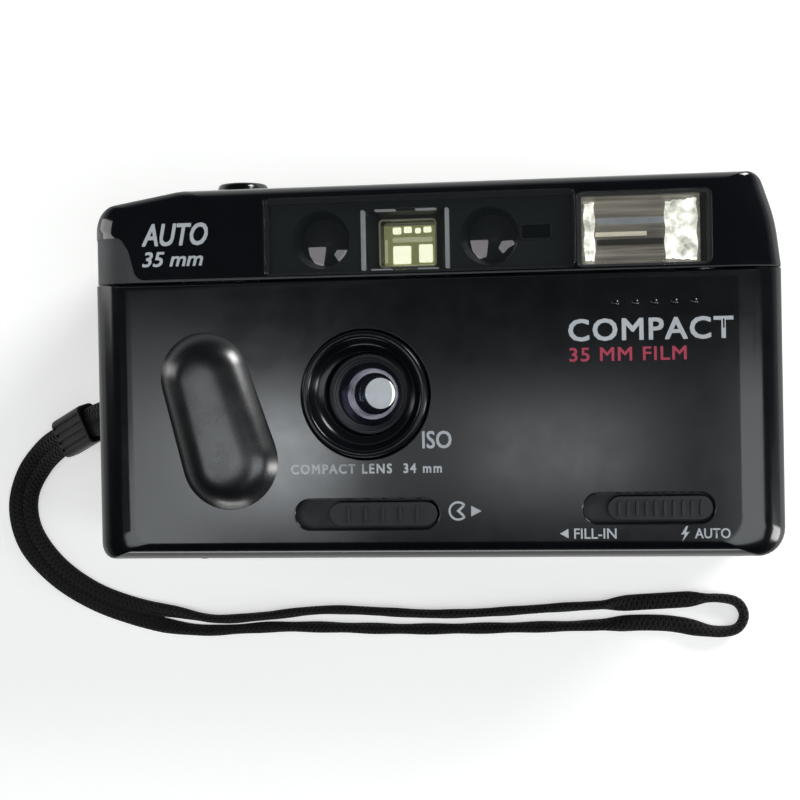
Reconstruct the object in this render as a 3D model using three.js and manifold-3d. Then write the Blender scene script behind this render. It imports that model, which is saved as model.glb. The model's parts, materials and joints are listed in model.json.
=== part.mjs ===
// A compact 35 mm autofocus camera, lying on its back, with its wrist strap beside it.
// Millimetres. +Z is the way the lens looks, +Y is the top of the camera, +X its right end seen
// from the front. Z = 0 is the surface that it lies on, and the origin is under the middle of it.

import * as THREE from 'three';
import { mergeVertices } from 'three/addons/utils/BufferGeometryUtils.js';
import Module from 'manifold-3d';

const wasm = await Module();
wasm.setup();

// ---------------------------------------------------------------- driving dimensions

const halfWidth = 63;
const halfHeight = 34.1;
const wall = 1.6;
const faceZ = 40.2; // front of the lower cover
const bandZ = 39.4; // front of the upper cover
const joinZ = 14; // front cover meets rear frame
const seamY = 17.15; // upper cover meets the rest
const seamGap = 0.15; // each side of the seam
const shoulder = { across: 8, deep: 5 }; // elliptical rounding of the front's two ends
const buttonRise = 2.5;
const baseBump = 0.8;

const lensX = -11.5;
const lensY = -4.1;
const filmZ = 4.6;
const gate = { width: 36, height: 24 };

const spool = { x: -49.4, z: 16.5, radius: 7.5, chamber: 9.9 };
const cassette = { x: 21.3, z: 17.4, chamber: 13 };
const sprocket = { x: -35.3, z: 9.3, radius: 4.5 };
const cell = { x: 50.6, radius: 7.2, length: 50.5, rearZ: 10.9, frontZ: 25.9 };

const barrier = { x: -24.8, length: 26.3, y: -25.9, height: 5.4, knob: 19.8, travel: 5.8 };
const flashKey = { x: 27.4, length: 23.05, y: -25.2, height: 5.3, knob: 18.4, travel: 4 };
const windowBox = { x0: -30, x1: 26.8, y0: 17.9, y1: 32.2 };
const flashBox = { x0: 27.1, x1: 50.8, y0: 17.9, y1: 31.2 };
const finder = { x: -4.2, y: 23.7 };
const focusEyes = [{ x: -19.8, y: 24.4 }, { x: 11.3, y: 24.2 }];
const button = { x: -37, z: 25, radius: 4.8 };
const hinge = { x: -59.8, z: 2.2, radius: 1.45 };
const doorTop = 16.9;
const doorBottom = -31.2;
const batteryHinge = { x: 40.9, y: -32.1 };
const hatch = { x0: 38.1, x1: 59.1, z0: 2.3, z1: 34.5 };
const dial = { x: -22, z: 14 };
const rewindKey = { x: -44.7, z: 30 };
const tripod = { x: -2, z: 25 };
const baseScrews = [{ x: -22, z: 8 }, { x: 26, z: 8 }];
const lug = { y0: -12.4, y1: -2.2, z: 18.2 };

const cord = { radius: 1.05, sides: 8 };

// ---------------------------------------------------------------- materials

function paint(color, roughness, metalness = 0) {
  return new THREE.MeshStandardMaterial({ color, roughness, metalness });
}

const satin = paint(0x1b1d1f, 0.45);
const gloss = paint(0x0a0b0d, 0.12);
const black = paint(0x121314, 0.6);
const smoked = paint(0x24282a, 0.1);
const clear = paint(0xdfe6e4, 0.08);
const coated = paint(0x6c7fa6, 0.05);
const steel = paint(0xa9abad, 0.35, 1);
const brass = paint(0xb08d4a, 0.35, 1);
const mirror = paint(0xe6e6e2, 0.1, 1);
const nylon = paint(0xd8d6cc, 0.5);
const board = paint(0x2c5a3a, 0.55);
const cellWrap = paint(0x8f8a3c, 0.4);
const weave = paint(0x18181a, 0.9);

// ---------------------------------------------------------------- solids

// Shared vertices, faces out: what the booleans and the exporter both need.
function closed(geometry) {
  const bare = geometry.clone();
  bare.deleteAttribute('normal');
  bare.deleteAttribute('uv');
  const merged = mergeVertices(bare, 1e-4);
  const p = merged.attributes.position;
  const index = merged.index.array;
  const [a, b, c] = [new THREE.Vector3(), new THREE.Vector3(), new THREE.Vector3()];
  let volume = 0;
  for (let i = 0; i < index.length; i += 3) {
    a.fromBufferAttribute(p, index[i]);
    b.fromBufferAttribute(p, index[i + 1]);
    c.fromBufferAttribute(p, index[i + 2]);
    volume += a.dot(b.cross(c));
  }
  if (volume < 0) {
    for (let i = 0; i < index.length; i += 3) {
      [index[i], index[i + 1]] = [index[i + 1], index[i]];
    }
  }
  return merged;
}

function toManifold(geometry) {
  const shape = closed(geometry);
  return new wasm.Manifold(new wasm.Mesh({
    numProp: 3,
    vertProperties: new Float32Array(shape.attributes.position.array),
    triVerts: new Uint32Array(shape.index.array),
  }));
}

function fromManifold(manifold) {
  const { vertProperties, triVerts } = manifold.getMesh();
  const geometry = new THREE.BufferGeometry();
  geometry.setAttribute('position', new THREE.BufferAttribute(vertProperties, 3));
  geometry.setIndex(new THREE.BufferAttribute(triVerts, 1));
  return geometry;
}

function combine(operation, first, others) {
  return fromManifold(others.reduce((sum, next) => sum[operation](toManifold(next)), toManifold(first)));
}

const join = (first, ...others) => combine('add', first, others);
const cut = (first, ...others) => combine('subtract', first, others);
const common = (first, ...others) => combine('intersect', first, others);

// ---------------------------------------------------------------- basic shapes

function slab(x0, x1, y0, y1, z0, z1) {
  const box = new THREE.BoxGeometry(x1 - x0, y1 - y0, z1 - z0);
  return box.translate((x0 + x1) / 2, (y0 + y1) / 2, (z0 + z1) / 2);
}

// A round bar along 'x', 'y' or 'z', from one coordinate to another; centre holds the other two.
function bar(axis, radius, from, to, [u, v], sides = 12) {
  const rod = new THREE.CylinderGeometry(radius, radius, to - from, sides);
  const middle = (from + to) / 2;
  if (axis === 'x') return rod.rotateZ(-Math.PI / 2).translate(middle, u, v);
  if (axis === 'y') return rod.translate(u, middle, v);
  return rod.rotateX(Math.PI / 2).translate(u, v, middle);
}

// A profile of [radius, height] points turned about a line along Z or Y.
function turned(profile, axis, [u, v], sides = 20) {
  const lathe = new THREE.LatheGeometry(profile.map(([r, h]) => new THREE.Vector2(r, h)), sides);
  return axis === 'z' ? lathe.rotateX(Math.PI / 2).translate(u, v, 0) : lathe.translate(u, 0, v);
}

function ring(inner, outer, from, to) {
  return [[inner, from], [outer, from], [outer, to], [inner, to], [inner, from]];
}

// An outline from corners [x, y, radius], each corner rounded by an arc.
function outline(corners, steps = 3) {
  const points = [];
  corners.forEach(([x, y, radius = 0], i) => {
    const here = new THREE.Vector2(x, y);
    if (radius === 0) {
      points.push(here);
      return;
    }
    const [px, py] = corners[(i + corners.length - 1) % corners.length];
    const [nx, ny] = corners[(i + 1) % corners.length];
    const back = new THREE.Vector2(px - x, py - y).normalize();
    const ahead = new THREE.Vector2(nx - x, ny - y).normalize();
    const half = Math.acos(back.dot(ahead)) / 2;
    const middle = back.clone().add(ahead).normalize();
    const centre = here.clone().addScaledVector(middle, radius / Math.sin(half));
    const start = here.clone().addScaledVector(back, radius / Math.tan(half)).sub(centre);
    const sweep = Math.PI - 2 * half;
    const turn = Math.sign(back.cross(ahead)) || 1;
    for (let k = 0; k <= steps; k += 1) {
      const point = start.clone().rotateAround(new THREE.Vector2(), -turn * sweep * k / steps);
      points.push(point.add(centre));
    }
  });
  return new THREE.Shape(points);
}

function box2(x0, x1, y0, y1, radius = 0, steps = 2) {
  return outline([[x0, y0, radius], [x1, y0, radius], [x1, y1, radius], [x0, y1, radius]], steps);
}

function plate(shape, z0, z1) {
  return new THREE.ExtrudeGeometry(shape, { depth: z1 - z0, bevelEnabled: false }).translate(0, 0, z0);
}

// A plate whose outline is drawn in X and Z, standing along Y.
function alongY(shape, y0, y1) {
  const solid = new THREE.ExtrudeGeometry(shape, { depth: y1 - y0, bevelEnabled: false });
  return solid.rotateX(Math.PI / 2).translate(0, y1, 0);
}

// A plate whose outline is drawn in Z and Y, lying along X.
function alongX(shape, x0, x1) {
  const solid = new THREE.ExtrudeGeometry(shape, { depth: x1 - x0, bevelEnabled: false });
  return solid.rotateY(-Math.PI / 2).translate(x1, 0, 0);
}

function stadium({ x, y, length, height }, z0, z1, grow = 0) {
  const half = height / 2 + grow;
  return plate(box2(x - grow, x + length + grow, y - half, y + half, half * 0.98, 4), z0, z1);
}

// ---------------------------------------------------------------- the body's outer form

function lowerOutline(inset) {
  const x = halfWidth - inset;
  const y = -halfHeight + inset;
  return outline([[-x, y, 3 - inset / 2], [x, y, 5 - inset / 2], [x, 40], [-x, 40]]);
}

function upperOutline(inset) {
  const x = halfWidth - inset;
  const y = halfHeight - inset;
  return outline([
    [-x, -40], [x, -40], [x, 17.3], [62 - inset, 25.6 - inset / 4, 30], [59.2 - inset * 0.8, y, 3.2],
    [-46, y, 12], [-x, 31.2 - inset, 5],
  ]);
}

// Seen from above: the face, falling away at both ends.
function endProfile(front, inset, rear) {
  const x = halfWidth - inset;
  const points = [new THREE.Vector2(-x, rear), new THREE.Vector2(x, rear)];
  const steps = 4;
  for (let k = 0; k <= steps; k += 1) {
    const angle = (Math.PI / 2) * k / steps;
    points.push(new THREE.Vector2(
      x - shoulder.across * (1 - Math.cos(angle)),
      front - shoulder.deep * (1 - Math.sin(angle)),
    ));
  }
  for (let k = steps; k >= 0; k -= 1) {
    const angle = (Math.PI / 2) * k / steps;
    points.push(new THREE.Vector2(
      -x + shoulder.across * (1 - Math.cos(angle)),
      front - shoulder.deep * (1 - Math.sin(angle)),
    ));
  }
  return new THREE.Shape(points);
}

function lowerBody(inset, rear, top) {
  const face = faceZ - inset;
  return common(
    plate(lowerOutline(inset), rear, 60),
    alongY(endProfile(face, inset, rear), -40, top),
    alongX(outline([[rear, -halfHeight + inset], [face, -halfHeight + inset, 3.2],
      [face, top, inset === 0 ? 1.6 : 0], [rear, top]]), -70, 70),
  );
}

function upperBody(inset, faceInset, rear, bottom) {
  const face = bandZ - faceInset;
  const top = halfHeight - inset;
  return common(
    plate(upperOutline(inset), rear, 60),
    alongY(endProfile(face, inset, rear), bottom, 40),
    alongX(outline([[rear, bottom], [face, bottom], [face, top, 2.4], [rear, top, 2.6]]), -70, 70),
  );
}

// ---------------------------------------------------------------- covers

function frontCover() {
  const shell = cut(
    lowerBody(0, joinZ, seamY - seamGap),
    lowerBody(wall, joinZ - 1, 30),
  );
  return cut(
    shell,
    bar('z', 11.8, 30, 50, [lensX, lensY], 28),
    stadium(barrier, 30, 50),
    stadium(flashKey, 30, 50),
    slab(-70, -60, lug.y0 - 0.2, lug.y1 + 0.2, lug.z - 3, lug.z + 3),
    slab(hatch.x0, hatch.x1, -40, -32, 5, hatch.z1),
    bar('y', 1.3, -40, -30, [rewindKey.x, rewindKey.z], 12),
    bar('y', 4.6, -40, -30, [tripod.x, tripod.z], 16),
  );
}

function topCover() {
  const shell = cut(
    upperBody(0, 0, 0, seamY + seamGap),
    upperBody(wall, 2.4, wall, 0),
  );
  return cut(
    shell,
    plate(bandOutline(0), bandZ - 1.2, 50),
    slab(windowBox.x0 + 0.6, windowBox.x1 - 0.6, 18.4, 31, 30, 50),
    slab(flashBox.x0 + 0.8, flashBox.x1 - 0.8, 18.4, 30.6, 30, 50),
    bar('y', button.radius + 0.3, 30, 40, [button.x, button.z], 20),
    bar('y', 3.1, 30, 40, [dial.x, dial.z], 16),
    slab(finder.x - 5.2, finder.x + 5.2, finder.y - 4.2, finder.y + 4.2, -5, 5),
  );
}

// The glossy band that is inlaid across the upper cover, with a swept left end.
function bandOutline(inset) {
  return outline([
    [-53.4 + inset, 17.9 + inset, 2.5], [55 - inset, 17.9 + inset, 0.5], [55 - inset, 32.6 - inset, 1.5],
    [-44 + inset, 32.6 - inset, 8], [-56.6 + inset, 30.6 - inset, 2.5], [-56.2 + inset, 25.5, 1.5],
  ], 3);
}

function frontBand() {
  const holes = [windowBox, flashBox].map(({ x0, x1, y0, y1 }) => (
    plate(box2(x0, x1, y0, y1, 1.2), 30, 50)
  ));
  const inlay = plate(bandOutline(0.1), bandZ - 1.15, bandZ);
  return cut(common(inlay, alongY(endProfile(bandZ, 0, 0), 0, 40)), ...holes);
}

function rearFrame() {
  const outer = plate(lowerOutline(0), 0, joinZ - 0.15);
  const inside = slab(-halfWidth + wall, halfWidth - wall, doorBottom - 0.4, 60, -5, 60);
  const lugs = [[-27.4, -24.4], [10.4, 13.4]].flatMap(([y0, y1]) => [
    bar('y', hinge.radius, y0, y1, [hinge.x, hinge.z]), slab(-62, hinge.x, y0, y1, hinge.z, 4),
  ]);
  const doorRelief = slab(-70, -61.38, -31.4, 40, -5, 3.2);
  return cut(
    join(cut(outer, inside, doorRelief, slab(-70, 70, seamY - seamGap, 60, -5, 60)), ...lugs),
    bar('y', 0.75, -30, 20, [hinge.x, hinge.z], 12),
    slab(hatch.x0, hatch.x1, -40, -20, hatch.z0, 60),
    slab(60, 70, -3.4, 6.4, 4.4, 9.6),
    ...baseScrews.flatMap(({ x, z }) => [
      bar('y', 1.9, -40, -32.8, [x, z], 16), bar('y', 0.95, -40, -30, [x, z], 12),
    ]),
  );
}

function backDoor() {
  const panel = plate(box2(-57.9, 61, doorBottom, doorTop, 1.2), 0.3, 2.1);
  const rim = (y) => slab(-57, 41.5, y, y + 1, 2, 3.6);
  const knuckle = bar('y', hinge.radius, -24, 10, [hinge.x, hinge.z], 16);
  const web = slab(hinge.x, -57, -24, 10, 0.75, 2.1);
  const catchTab = slab(59.3, 60.1, -4, 4, 2, 8.4);
  return cut(
    join(panel, rim(doorBottom + 0.9), rim(doorTop - 1.9), knuckle, web, catchTab),
    bar('y', 0.75, -30, 20, [hinge.x, hinge.z], 12),
    plate(box2(16, 28, -15, 5, 1.5), -5, 5),
  );
}

function batteryDoor() {
  const leaf = slab(hatch.x0 + 1.4, hatch.x1 - 0.3, -halfHeight, -32.9, hatch.z0 + 0.3, hatch.z1 - 0.3);
  const arm = slab(40.2, 41.6, -33, batteryHinge.y, 7, 29);
  const knuckle = bar('z', 1, 7, 29, [batteryHinge.x, batteryHinge.y], 12);
  const stubs = bar('z', 0.5, 3.8, 32.2, [batteryHinge.x, batteryHinge.y], 12);
  return join(leaf, arm, knuckle, stubs);
}

const grip = { upper: { x: -41.4, y: -0.5, r: 8.3 }, lower: { x: -36.9, y: -15.9, r: 9 }, rise: 2.9 };

// The outline round two circles of unequal size, drawn inset by a distance.
function gripOutline(inset, steps = 6) {
  const { upper, lower } = grip;
  const axis = new THREE.Vector2(upper.x - lower.x, upper.y - lower.y);
  const lean = Math.asin((lower.r - upper.r) / axis.length());
  const points = [];
  const arc = ({ x, y, r }, from, to) => {
    for (let k = 0; k <= steps; k += 1) {
      const angle = axis.angle() + from + ((to - from) * k) / steps;
      points.push(new THREE.Vector2(x + (r - inset) * Math.cos(angle), y + (r - inset) * Math.sin(angle)));
    }
  };
  arc(upper, -Math.PI / 2 + lean, Math.PI / 2 - lean);
  arc(lower, Math.PI / 2 - lean, (3 * Math.PI) / 2 + lean);
  return new THREE.Shape(points);
}

// A low dome: the edge bevels are drawn round a smaller outline, and only the upper half is kept.
function gripPad() {
  const rounding = 3.4;
  const dome = new THREE.ExtrudeGeometry(gripOutline(rounding), {
    depth: 1, bevelThickness: grip.rise, bevelSize: rounding, bevelSegments: 3, steps: 1,
  }).translate(0, 0, faceZ - 1);
  return cut(dome, slab(-80, 0, -40, 40, 0, faceZ));
}

// ---------------------------------------------------------------- lens and its cover

function lensBezel() {
  return turned([[8, 38.9], [11.5, 38.9], [11.5, 41.6], [11.1, 42.2], [10.6, 42.2], [8.6, 39.9],
    [7.7, 39.7], [7.7, 38.9], [8, 38.9]], 'z', [lensX, lensY], 28);
}

function lensBarrel() {
  return turned([[4.8, 24], [7.5, 24], [7.5, 36.2], [7.2, 36.6], [6.8, 36.6], [5.9, 35.6],
    [5.9, 32.4], [4.8, 31.4], [4.8, 24]], 'z', [lensX, lensY], 20);
}

function frontElement() {
  return turned([[0, 33], [5.8, 33], [5.8, 34.4], [5, 35.2], [3.6, 35.9], [1.9, 36.3], [0, 36.4]],
    'z', [lensX, lensY], 20);
}

function rearElement() {
  return turned([[0, 27.2], [2.4, 27], [4.7, 26.2], [4.7, 28.6], [0, 28.6]], 'z', [lensX, lensY], 16);
}

const bladePivot = { x: -2.5, y: -14.6, swing: 70 };

function lensMount() {
  const tube = turned(ring(7.9, 9.2, 22.8, 32.6), 'z', [lensX, lensY], 24);
  const flange = cut(
    plate(box2(-25, 2.5, -19, 8.5, 3), 31.2, 32.6),
    bar('z', 7.9, 30, 40, [lensX, lensY], 24),
  );
  const post = bar('z', 1, 32, 38.45, [bladePivot.x, bladePivot.y], 12);
  const stop = bar('z', 1.8, 32, 37.6, [bladePivot.x, bladePivot.y], 12);
  return join(tube, flange, stop, post);
}

// The leaf that covers the lens; built where it covers it, then swung aside about its pivot.
function lensCoverBlade() {
  const reach = new THREE.Vector2(lensX - bladePivot.x, lensY - bladePivot.y);
  const leaf = bar('z', 7.9, 37.8, 38.3, [0, reach.length()], 20);
  const arm = slab(-2.6, 2.6, -1.5, 9, 37.8, 38.3);
  const blade = cut(join(leaf, arm, bar('z', 2.8, 37.8, 38.3, [0, 0])), bar('z', 1.12, 30, 50, [0, 0], 12));
  const closedAngle = reach.angle() - Math.PI / 2;
  const openAngle = closedAngle - THREE.MathUtils.degToRad(bladePivot.swing);
  return blade.rotateZ(openAngle).translate(bladePivot.x, bladePivot.y, 0);
}

// A ribbed thumb slide: its cap fills the slot, and a wider flange keeps it in from behind.
function slideKnob(slot, ribPitch, ribs) {
  const right = slot.x + slot.length - 0.3;
  const knob = { x: right - slot.knob, length: slot.knob, y: slot.y, height: slot.height - 1 };
  const cap = stadium(knob, 37.6, faceZ - 0.2);
  const middle = right - slot.knob / 2;
  const raised = Array.from({ length: ribs }, (_, i) => {
    const x = middle + (i - (ribs - 1) / 2) * ribPitch;
    return slab(x - 0.3, x + 0.3, slot.y - 1.4, slot.y + 1.4, 39, faceZ + 0.3);
  });
  const flange = slab(knob.x - 2.2, right + 1.2, slot.y - 3.6, slot.y + 3.6, 37, 38.2);
  return join(flange, cap, ...raised);
}

// ---------------------------------------------------------------- shutter and light path

const shutterPivots = [-1, 1].map((side) => ({ x: lensX + side * 2.4, y: lensY - 11, side }));

function shutterPlate() {
  const tray = plate(box2(-27, 4, -18.6, 9.6, 2), 19.9, 22.6);
  const hollow = plate(box2(-26, 3, -17.6, 8.6, 1.5), 15, 21.5);
  const pins = shutterPivots.map(({ x, y }) => bar('z', 0.7, 20, 22, [x, y], 10));
  return join(cut(tray, hollow, bar('z', 3, 10, 30, [lensX, lensY], 24)), ...pins);
}

function shutterBlade({ x, y, side }, z) {
  const leaf = bar('z', 4.6, z, z + 0.3, [x, lensY], 16);
  const arm = slab(x - 1.4, x + 1.4, y, lensY - 3, z, z + 0.3);
  const eye = bar('z', 1.8, z, z + 0.3, [x, y], 12);
  return cut(join(leaf, arm, eye), bar('z', 0.8, 0, 40, [x, y], 10));
}

function lightBox() {
  const rear = { x: gate.width / 2 + 1.2, y: gate.height / 2 + 1.2 };
  const front = { x: 9, y: 8 };
  const funnel = (grow, z0, z1) => {
    const shape = new THREE.CylinderGeometry(Math.SQRT1_2, Math.SQRT1_2, 1, 4).rotateY(Math.PI / 4);
    shape.rotateX(Math.PI / 2).scale(2, 2, 1);
    const p = shape.attributes.position;
    for (let i = 0; i < p.count; i += 1) {
      const end = p.getZ(i) > 0 ? front : rear;
      p.setXYZ(i, p.getX(i) * (end.x + grow), p.getY(i) * (end.y + grow), p.getZ(i) > 0 ? z1 : z0);
    }
    return shape.translate(lensX, lensY, 0);
  };
  const flange = plate(box2(-27, 4, -18.6, 9.6, 2), 18.8, 19.8);
  return cut(join(funnel(1, 6.4, 19.6), flange), funnel(0, 6.2, 18.6), bar('z', 4.2, 10, 30, [lensX, lensY]));
}

function gatePlate() {
  const halfX = gate.width / 2;
  const halfY = gate.height / 2;
  const rails = [-1, 1].map((side) => (
    slab(lensX - 18.5, lensX + 19, lensY + side * 15 - 0.7, lensY + side * 15 + 0.7, filmZ - 0.3, 5.2)
  ));
  return cut(
    join(slab(-30.6, 7.2, -22.6, 14.4, filmZ + 0.3, 6.2), ...rails),
    slab(lensX - halfX, lensX + halfX, lensY - halfY, lensY + halfY, 0, 20),
  );
}

// ---------------------------------------------------------------- film transport

function cassetteChamber() {
  const radius = cassette.chamber;
  const centre = [cassette.x, cassette.z];
  const shell = cut(
    bar('y', radius + 1, -29.4, 21.2, centre, 24),
    bar('y', radius, -28.2, 20, centre, 24),
    slab(0, 60, -60, 60, -20, filmZ + 0.4),
  );
  return cut(shell, slab(0, 14, -22.4, 14.2, 0, 8), bar('y', 2.9, -40, -20, centre, 16));
}

function spoolChamber() {
  const radius = spool.chamber;
  const centre = [spool.x, spool.z];
  const shell = cut(
    bar('y', radius + 0.8, -24.2, 15.6, centre, 20),
    bar('y', radius, -23.2, 14.6, centre, 20),
    slab(-80, -30, -60, 60, -20, filmZ + 1),
  );
  return join(cut(
    shell,
    bar('y', 6.8, -40, -20, centre, 16),
    bar('y', 4.4, 10, 40, centre, 16),
    slab(-43.4, -20, -60, 60, 0, 15.4),
  ), ...gearPost());
}

function gearOutline(teeth, module) {
  const pitch = teeth * module / 2;
  const points = [];
  for (let i = 0; i < teeth; i += 1) {
    [[-0.32, -1.15], [-0.12, 0.85], [0.12, 0.85], [0.32, -1.15]].forEach(([turn, height]) => {
      const angle = (2 * Math.PI * (i + turn)) / teeth;
      const radius = pitch + height * module;
      points.push(new THREE.Vector2(radius * Math.cos(angle), radius * Math.sin(angle)));
    });
  }
  return new THREE.Shape(points);
}

// A gear about a line along Y; phase turns it by that part of a tooth.
function gear(teeth, module, y0, y1, x, z, phase = 0) {
  const wheel = alongY(gearOutline(teeth, module), y0, y1);
  return wheel.rotateY((2 * Math.PI * phase) / teeth).translate(x, 0, z);
}

const train = { module: 0.5, large: 24, small: 8, distance: 8, low: [16, 17.1], high: [17.5, 18.6] };

function takeupSpool() {
  const drum = turned([[6.4, -22.8], [spool.radius + 1, -22.8], [spool.radius + 1, -21.8],
    [spool.radius, -21.8], [spool.radius, 13.4], [spool.radius + 1, 13.4], [spool.radius + 1, 14.2],
    [4, 14.2], [4, 16.4], [1.3, 16.4], [1.3, 12.6], [6.4, 12.6], [6.4, -22.8]],
  'y', [spool.x, spool.z], 16);
  const wheel = gear(train.large, train.module, ...train.low, spool.x, spool.z);
  return join(drum, cut(wheel, bar('y', 1.3, 10, 20, [spool.x, spool.z], 16)));
}

function driveMotor() {
  const can = bar('y', 6, -29.6, 8, [spool.x, spool.z], 16);
  const foot = bar('y', 9.4, -31.4, -29.5, [spool.x, spool.z], 16);
  const shaft = bar('y', 0.75, 7.9, 17.2, [spool.x, spool.z], 10);
  return join(can, foot, shaft);
}

function motorPinion() {
  const centre = [spool.x, spool.z];
  const hub = bar('y', 1.15, 17.2, 17.6, centre, 12);
  return join(gear(train.small, train.module, ...train.high, spool.x, spool.z, 0), hub);
}

function reductionGear() {
  const x = spool.x + train.distance;
  const wheel = gear(train.large, train.module, ...train.high, x, spool.z, 0.5);
  const pinion = gear(train.small, train.module, train.low[0], train.high[0] + 0.2, x, spool.z, 0.5);
  return cut(join(wheel, pinion), bar('y', 0.7, 0, 40, [x, spool.z], 10));
}

// The post that the reduction gear turns on, with the foot that ties it to the chamber's roof.
function gearPost() {
  const x = spool.x + train.distance;
  return [
    bar('y', 0.6, 15, 19.4, [x, spool.z], 10),
    slab(x - 2.2, x + 1.2, 14.6, 15.6, spool.z - 1, spool.z + 3),
  ];
}

function sprocketShaft() {
  const centre = [sprocket.x, sprocket.z];
  const shaft = bar('y', 1.5, -23.4, 15.2, centre, 12);
  const wheels = [-1, 1].flatMap((side) => {
    const y = lensY + side * 14.2;
    const disc = bar('y', sprocket.radius - 0.8, y - 1.4, y + 1.4, centre, 12);
    const teeth = Array.from({ length: 6 }, (_, i) => {
      const tooth = slab(3, sprocket.radius, y - 0.5, y + 0.5, -0.5, 0.5);
      return tooth.rotateY(i * Math.PI / 3).translate(sprocket.x, 0, sprocket.z);
    });
    return [disc, ...teeth];
  });
  return join(shaft, ...wheels);
}

function rewindFork() {
  const centre = [cassette.x, cassette.z];
  return join(
    gear(16, 0.8, -31.6, -30.2, cassette.x, cassette.z),
    bar('y', 2.6, -30.4, -27.2, centre, 16),
    slab(cassette.x - 2, cassette.x + 2, -27.4, -24.4, cassette.z - 0.5, cassette.z + 0.5),
  );
}

// ---------------------------------------------------------------- viewfinder, autofocus, flash

function opticsMask() {
  const sheet = slab(-29.8, 26.6, 17.9, 31.1, 35.6, 36.7);
  const cups = focusEyes.map(({ x, y }) => bar('z', 6.2, 30.8, 36, [x, y], 20));
  const bores = focusEyes.map(({ x, y }) => (
    turned([[0, 31.5], [4.3, 31.5], [5.5, 36.7], [5.5, 40], [0, 40]], 'z', [x, y], 20)
  ));
  return cut(
    join(sheet, ...cups),
    ...bores,
    slab(finder.x - 8.2, finder.x + 8.2, finder.y - 5.4, finder.y + 6.1, 30, 50),
    slab(16.9, 22.5, 23.3, 26.2, 30, 50),
  );
}

function focusLens({ x, y }) {
  return turned([[0, 31.8], [4.1, 31.8], [4.1, 32.6], [3.2, 34], [1.8, 34.9], [0, 35.3]], 'z', [x, y], 16);
}

function meterCell() {
  return slab(17, 22.4, 23.4, 26.1, 34.2, 36.2);
}

function finderTunnel() {
  const { x, y } = finder;
  const tube = slab(x - 6.2, x + 6.2, y - 5.2, y + 5.2, 4.2, 31);
  const bell = slab(x - 8.6, x + 8.6, y - 5.7, y + 6.5, 31, 35.4);
  return cut(
    join(tube, bell),
    slab(x - 5.1, x + 5.1, y - 4.25, y + 4.25, 0, 40),
    slab(x - 8, x + 8, y - 5.2, y + 5.9, 32.4, 40),
  );
}

function finderObjective() {
  const { x, y } = finder;
  return cut(
    slab(x - 5, x + 5, y - 4.15, y + 4.15, 28, 31.6),
    new THREE.SphereGeometry(9, 14, 12).rotateX(Math.PI / 2).translate(x, y, 39.6),
  );
}

function finderEyepiece() {
  const { x, y } = finder;
  return plate(box2(x - 4.9, x + 4.9, y - 3.9, y + 3.9, 1.2), 0.5, 3.6);
}

function flashWindow() {
  const { x0, x1, y0, y1 } = flashBox;
  const pane = plate(box2(x0 + 0.15, x1 - 0.15, y0 + 0.15, y1 - 0.15, 1.1), 38.3, bandZ);
  const inner = slab(x0 + 1, x1 - 1, 18.6, 30.4, 37.3, 38.4);
  return join(pane, inner);
}

const reflector = { x0: 27.9, x1: 49.2, y0: 18.3, y1: 30.7, z0: 30.6, z1: 36.6 };

function troughProfile(grow, depth) {
  const middle = (reflector.y0 + reflector.y1) / 2;
  const half = (reflector.y1 - reflector.y0) / 2 - 0.5 + grow;
  const points = [];
  const steps = 8;
  for (let k = 0; k <= steps; k += 1) {
    const t = -1 + (2 * k) / steps;
    points.push(new THREE.Vector2(reflector.z1 - depth * (1 - t * t), middle + half * t));
  }
  return new THREE.Shape(points.concat([
    new THREE.Vector2(reflector.z1 + 1, middle + half), new THREE.Vector2(reflector.z1 + 1, middle - half),
  ]));
}

function flashReflector() {
  const { x0, x1, z1 } = reflector;
  const outer = common(
    alongX(troughProfile(0.5, z1 - reflector.z0), x0, x1),
    slab(x0, x1, 0, 40, 20, z1),
  );
  const y = (reflector.y0 + reflector.y1) / 2;
  return cut(
    outer,
    alongX(troughProfile(0, z1 - reflector.z0 - 0.8), x0 + 0.6, x1 - 0.6),
    bar('x', 1.35, x0 - 2, x1 + 2, [y, 33.6], 12),
  );
}

function flashTube() {
  const y = (reflector.y0 + reflector.y1) / 2;
  return bar('x', 1.1, reflector.x0 - 1.4, reflector.x1 + 1.4, [y, 33.6], 12);
}

function flashCapacitor() {
  const centre = [26.6, 12];
  const can = bar('x', 5.2, 14, 38, centre, 16);
  return join(can, bar('x', 4.4, 37.9, 38.8, centre));
}

function circuitBoard() {
  const sheet = plate(box2(10, 41.2, -20, 14.6, 1, 2), 32.6, 33.7);
  const chips = [slab(14, 23, -8, 1, 33.6, 35.2), slab(27, 35, 2, 10, 33.6, 37.6),
    slab(28, 33, -12, -5, 33.6, 35), slab(15, 19, 5, 11, 33.6, 35.6)];
  return join(sheet, ...chips);
}

// ---------------------------------------------------------------- power

function batteryBox() {
  const { x, rearZ, frontZ } = cell;
  const bore = cell.radius + 0.3;
  const outer = join(slab(42.4, 58.8, -31.9, 17.2, 2.6, 34.2), slab(42.4, 58.8, 17, 20, 2.6, 30.3));
  const lugs = [[3.4, 6], [30, 32.6]].flatMap(([z0, z1]) => [
    slab(40.2, 42.8, batteryHinge.y, -30.8, z0, z1),
    bar('z', 0.72, z0, z1, [batteryHinge.x, batteryHinge.y], 16),
  ]);
  return cut(
    join(outer, ...lugs),
    bar('y', bore, -40, 19.1, [x, rearZ], 20),
    bar('y', bore, -40, 19.1, [x, frontZ], 20),
    slab(x - 2, x + 2, -40, 19.1, rearZ, frontZ),
    bar('z', 0.55, 0, 40, [batteryHinge.x, batteryHinge.y], 12),
  );
}

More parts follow.
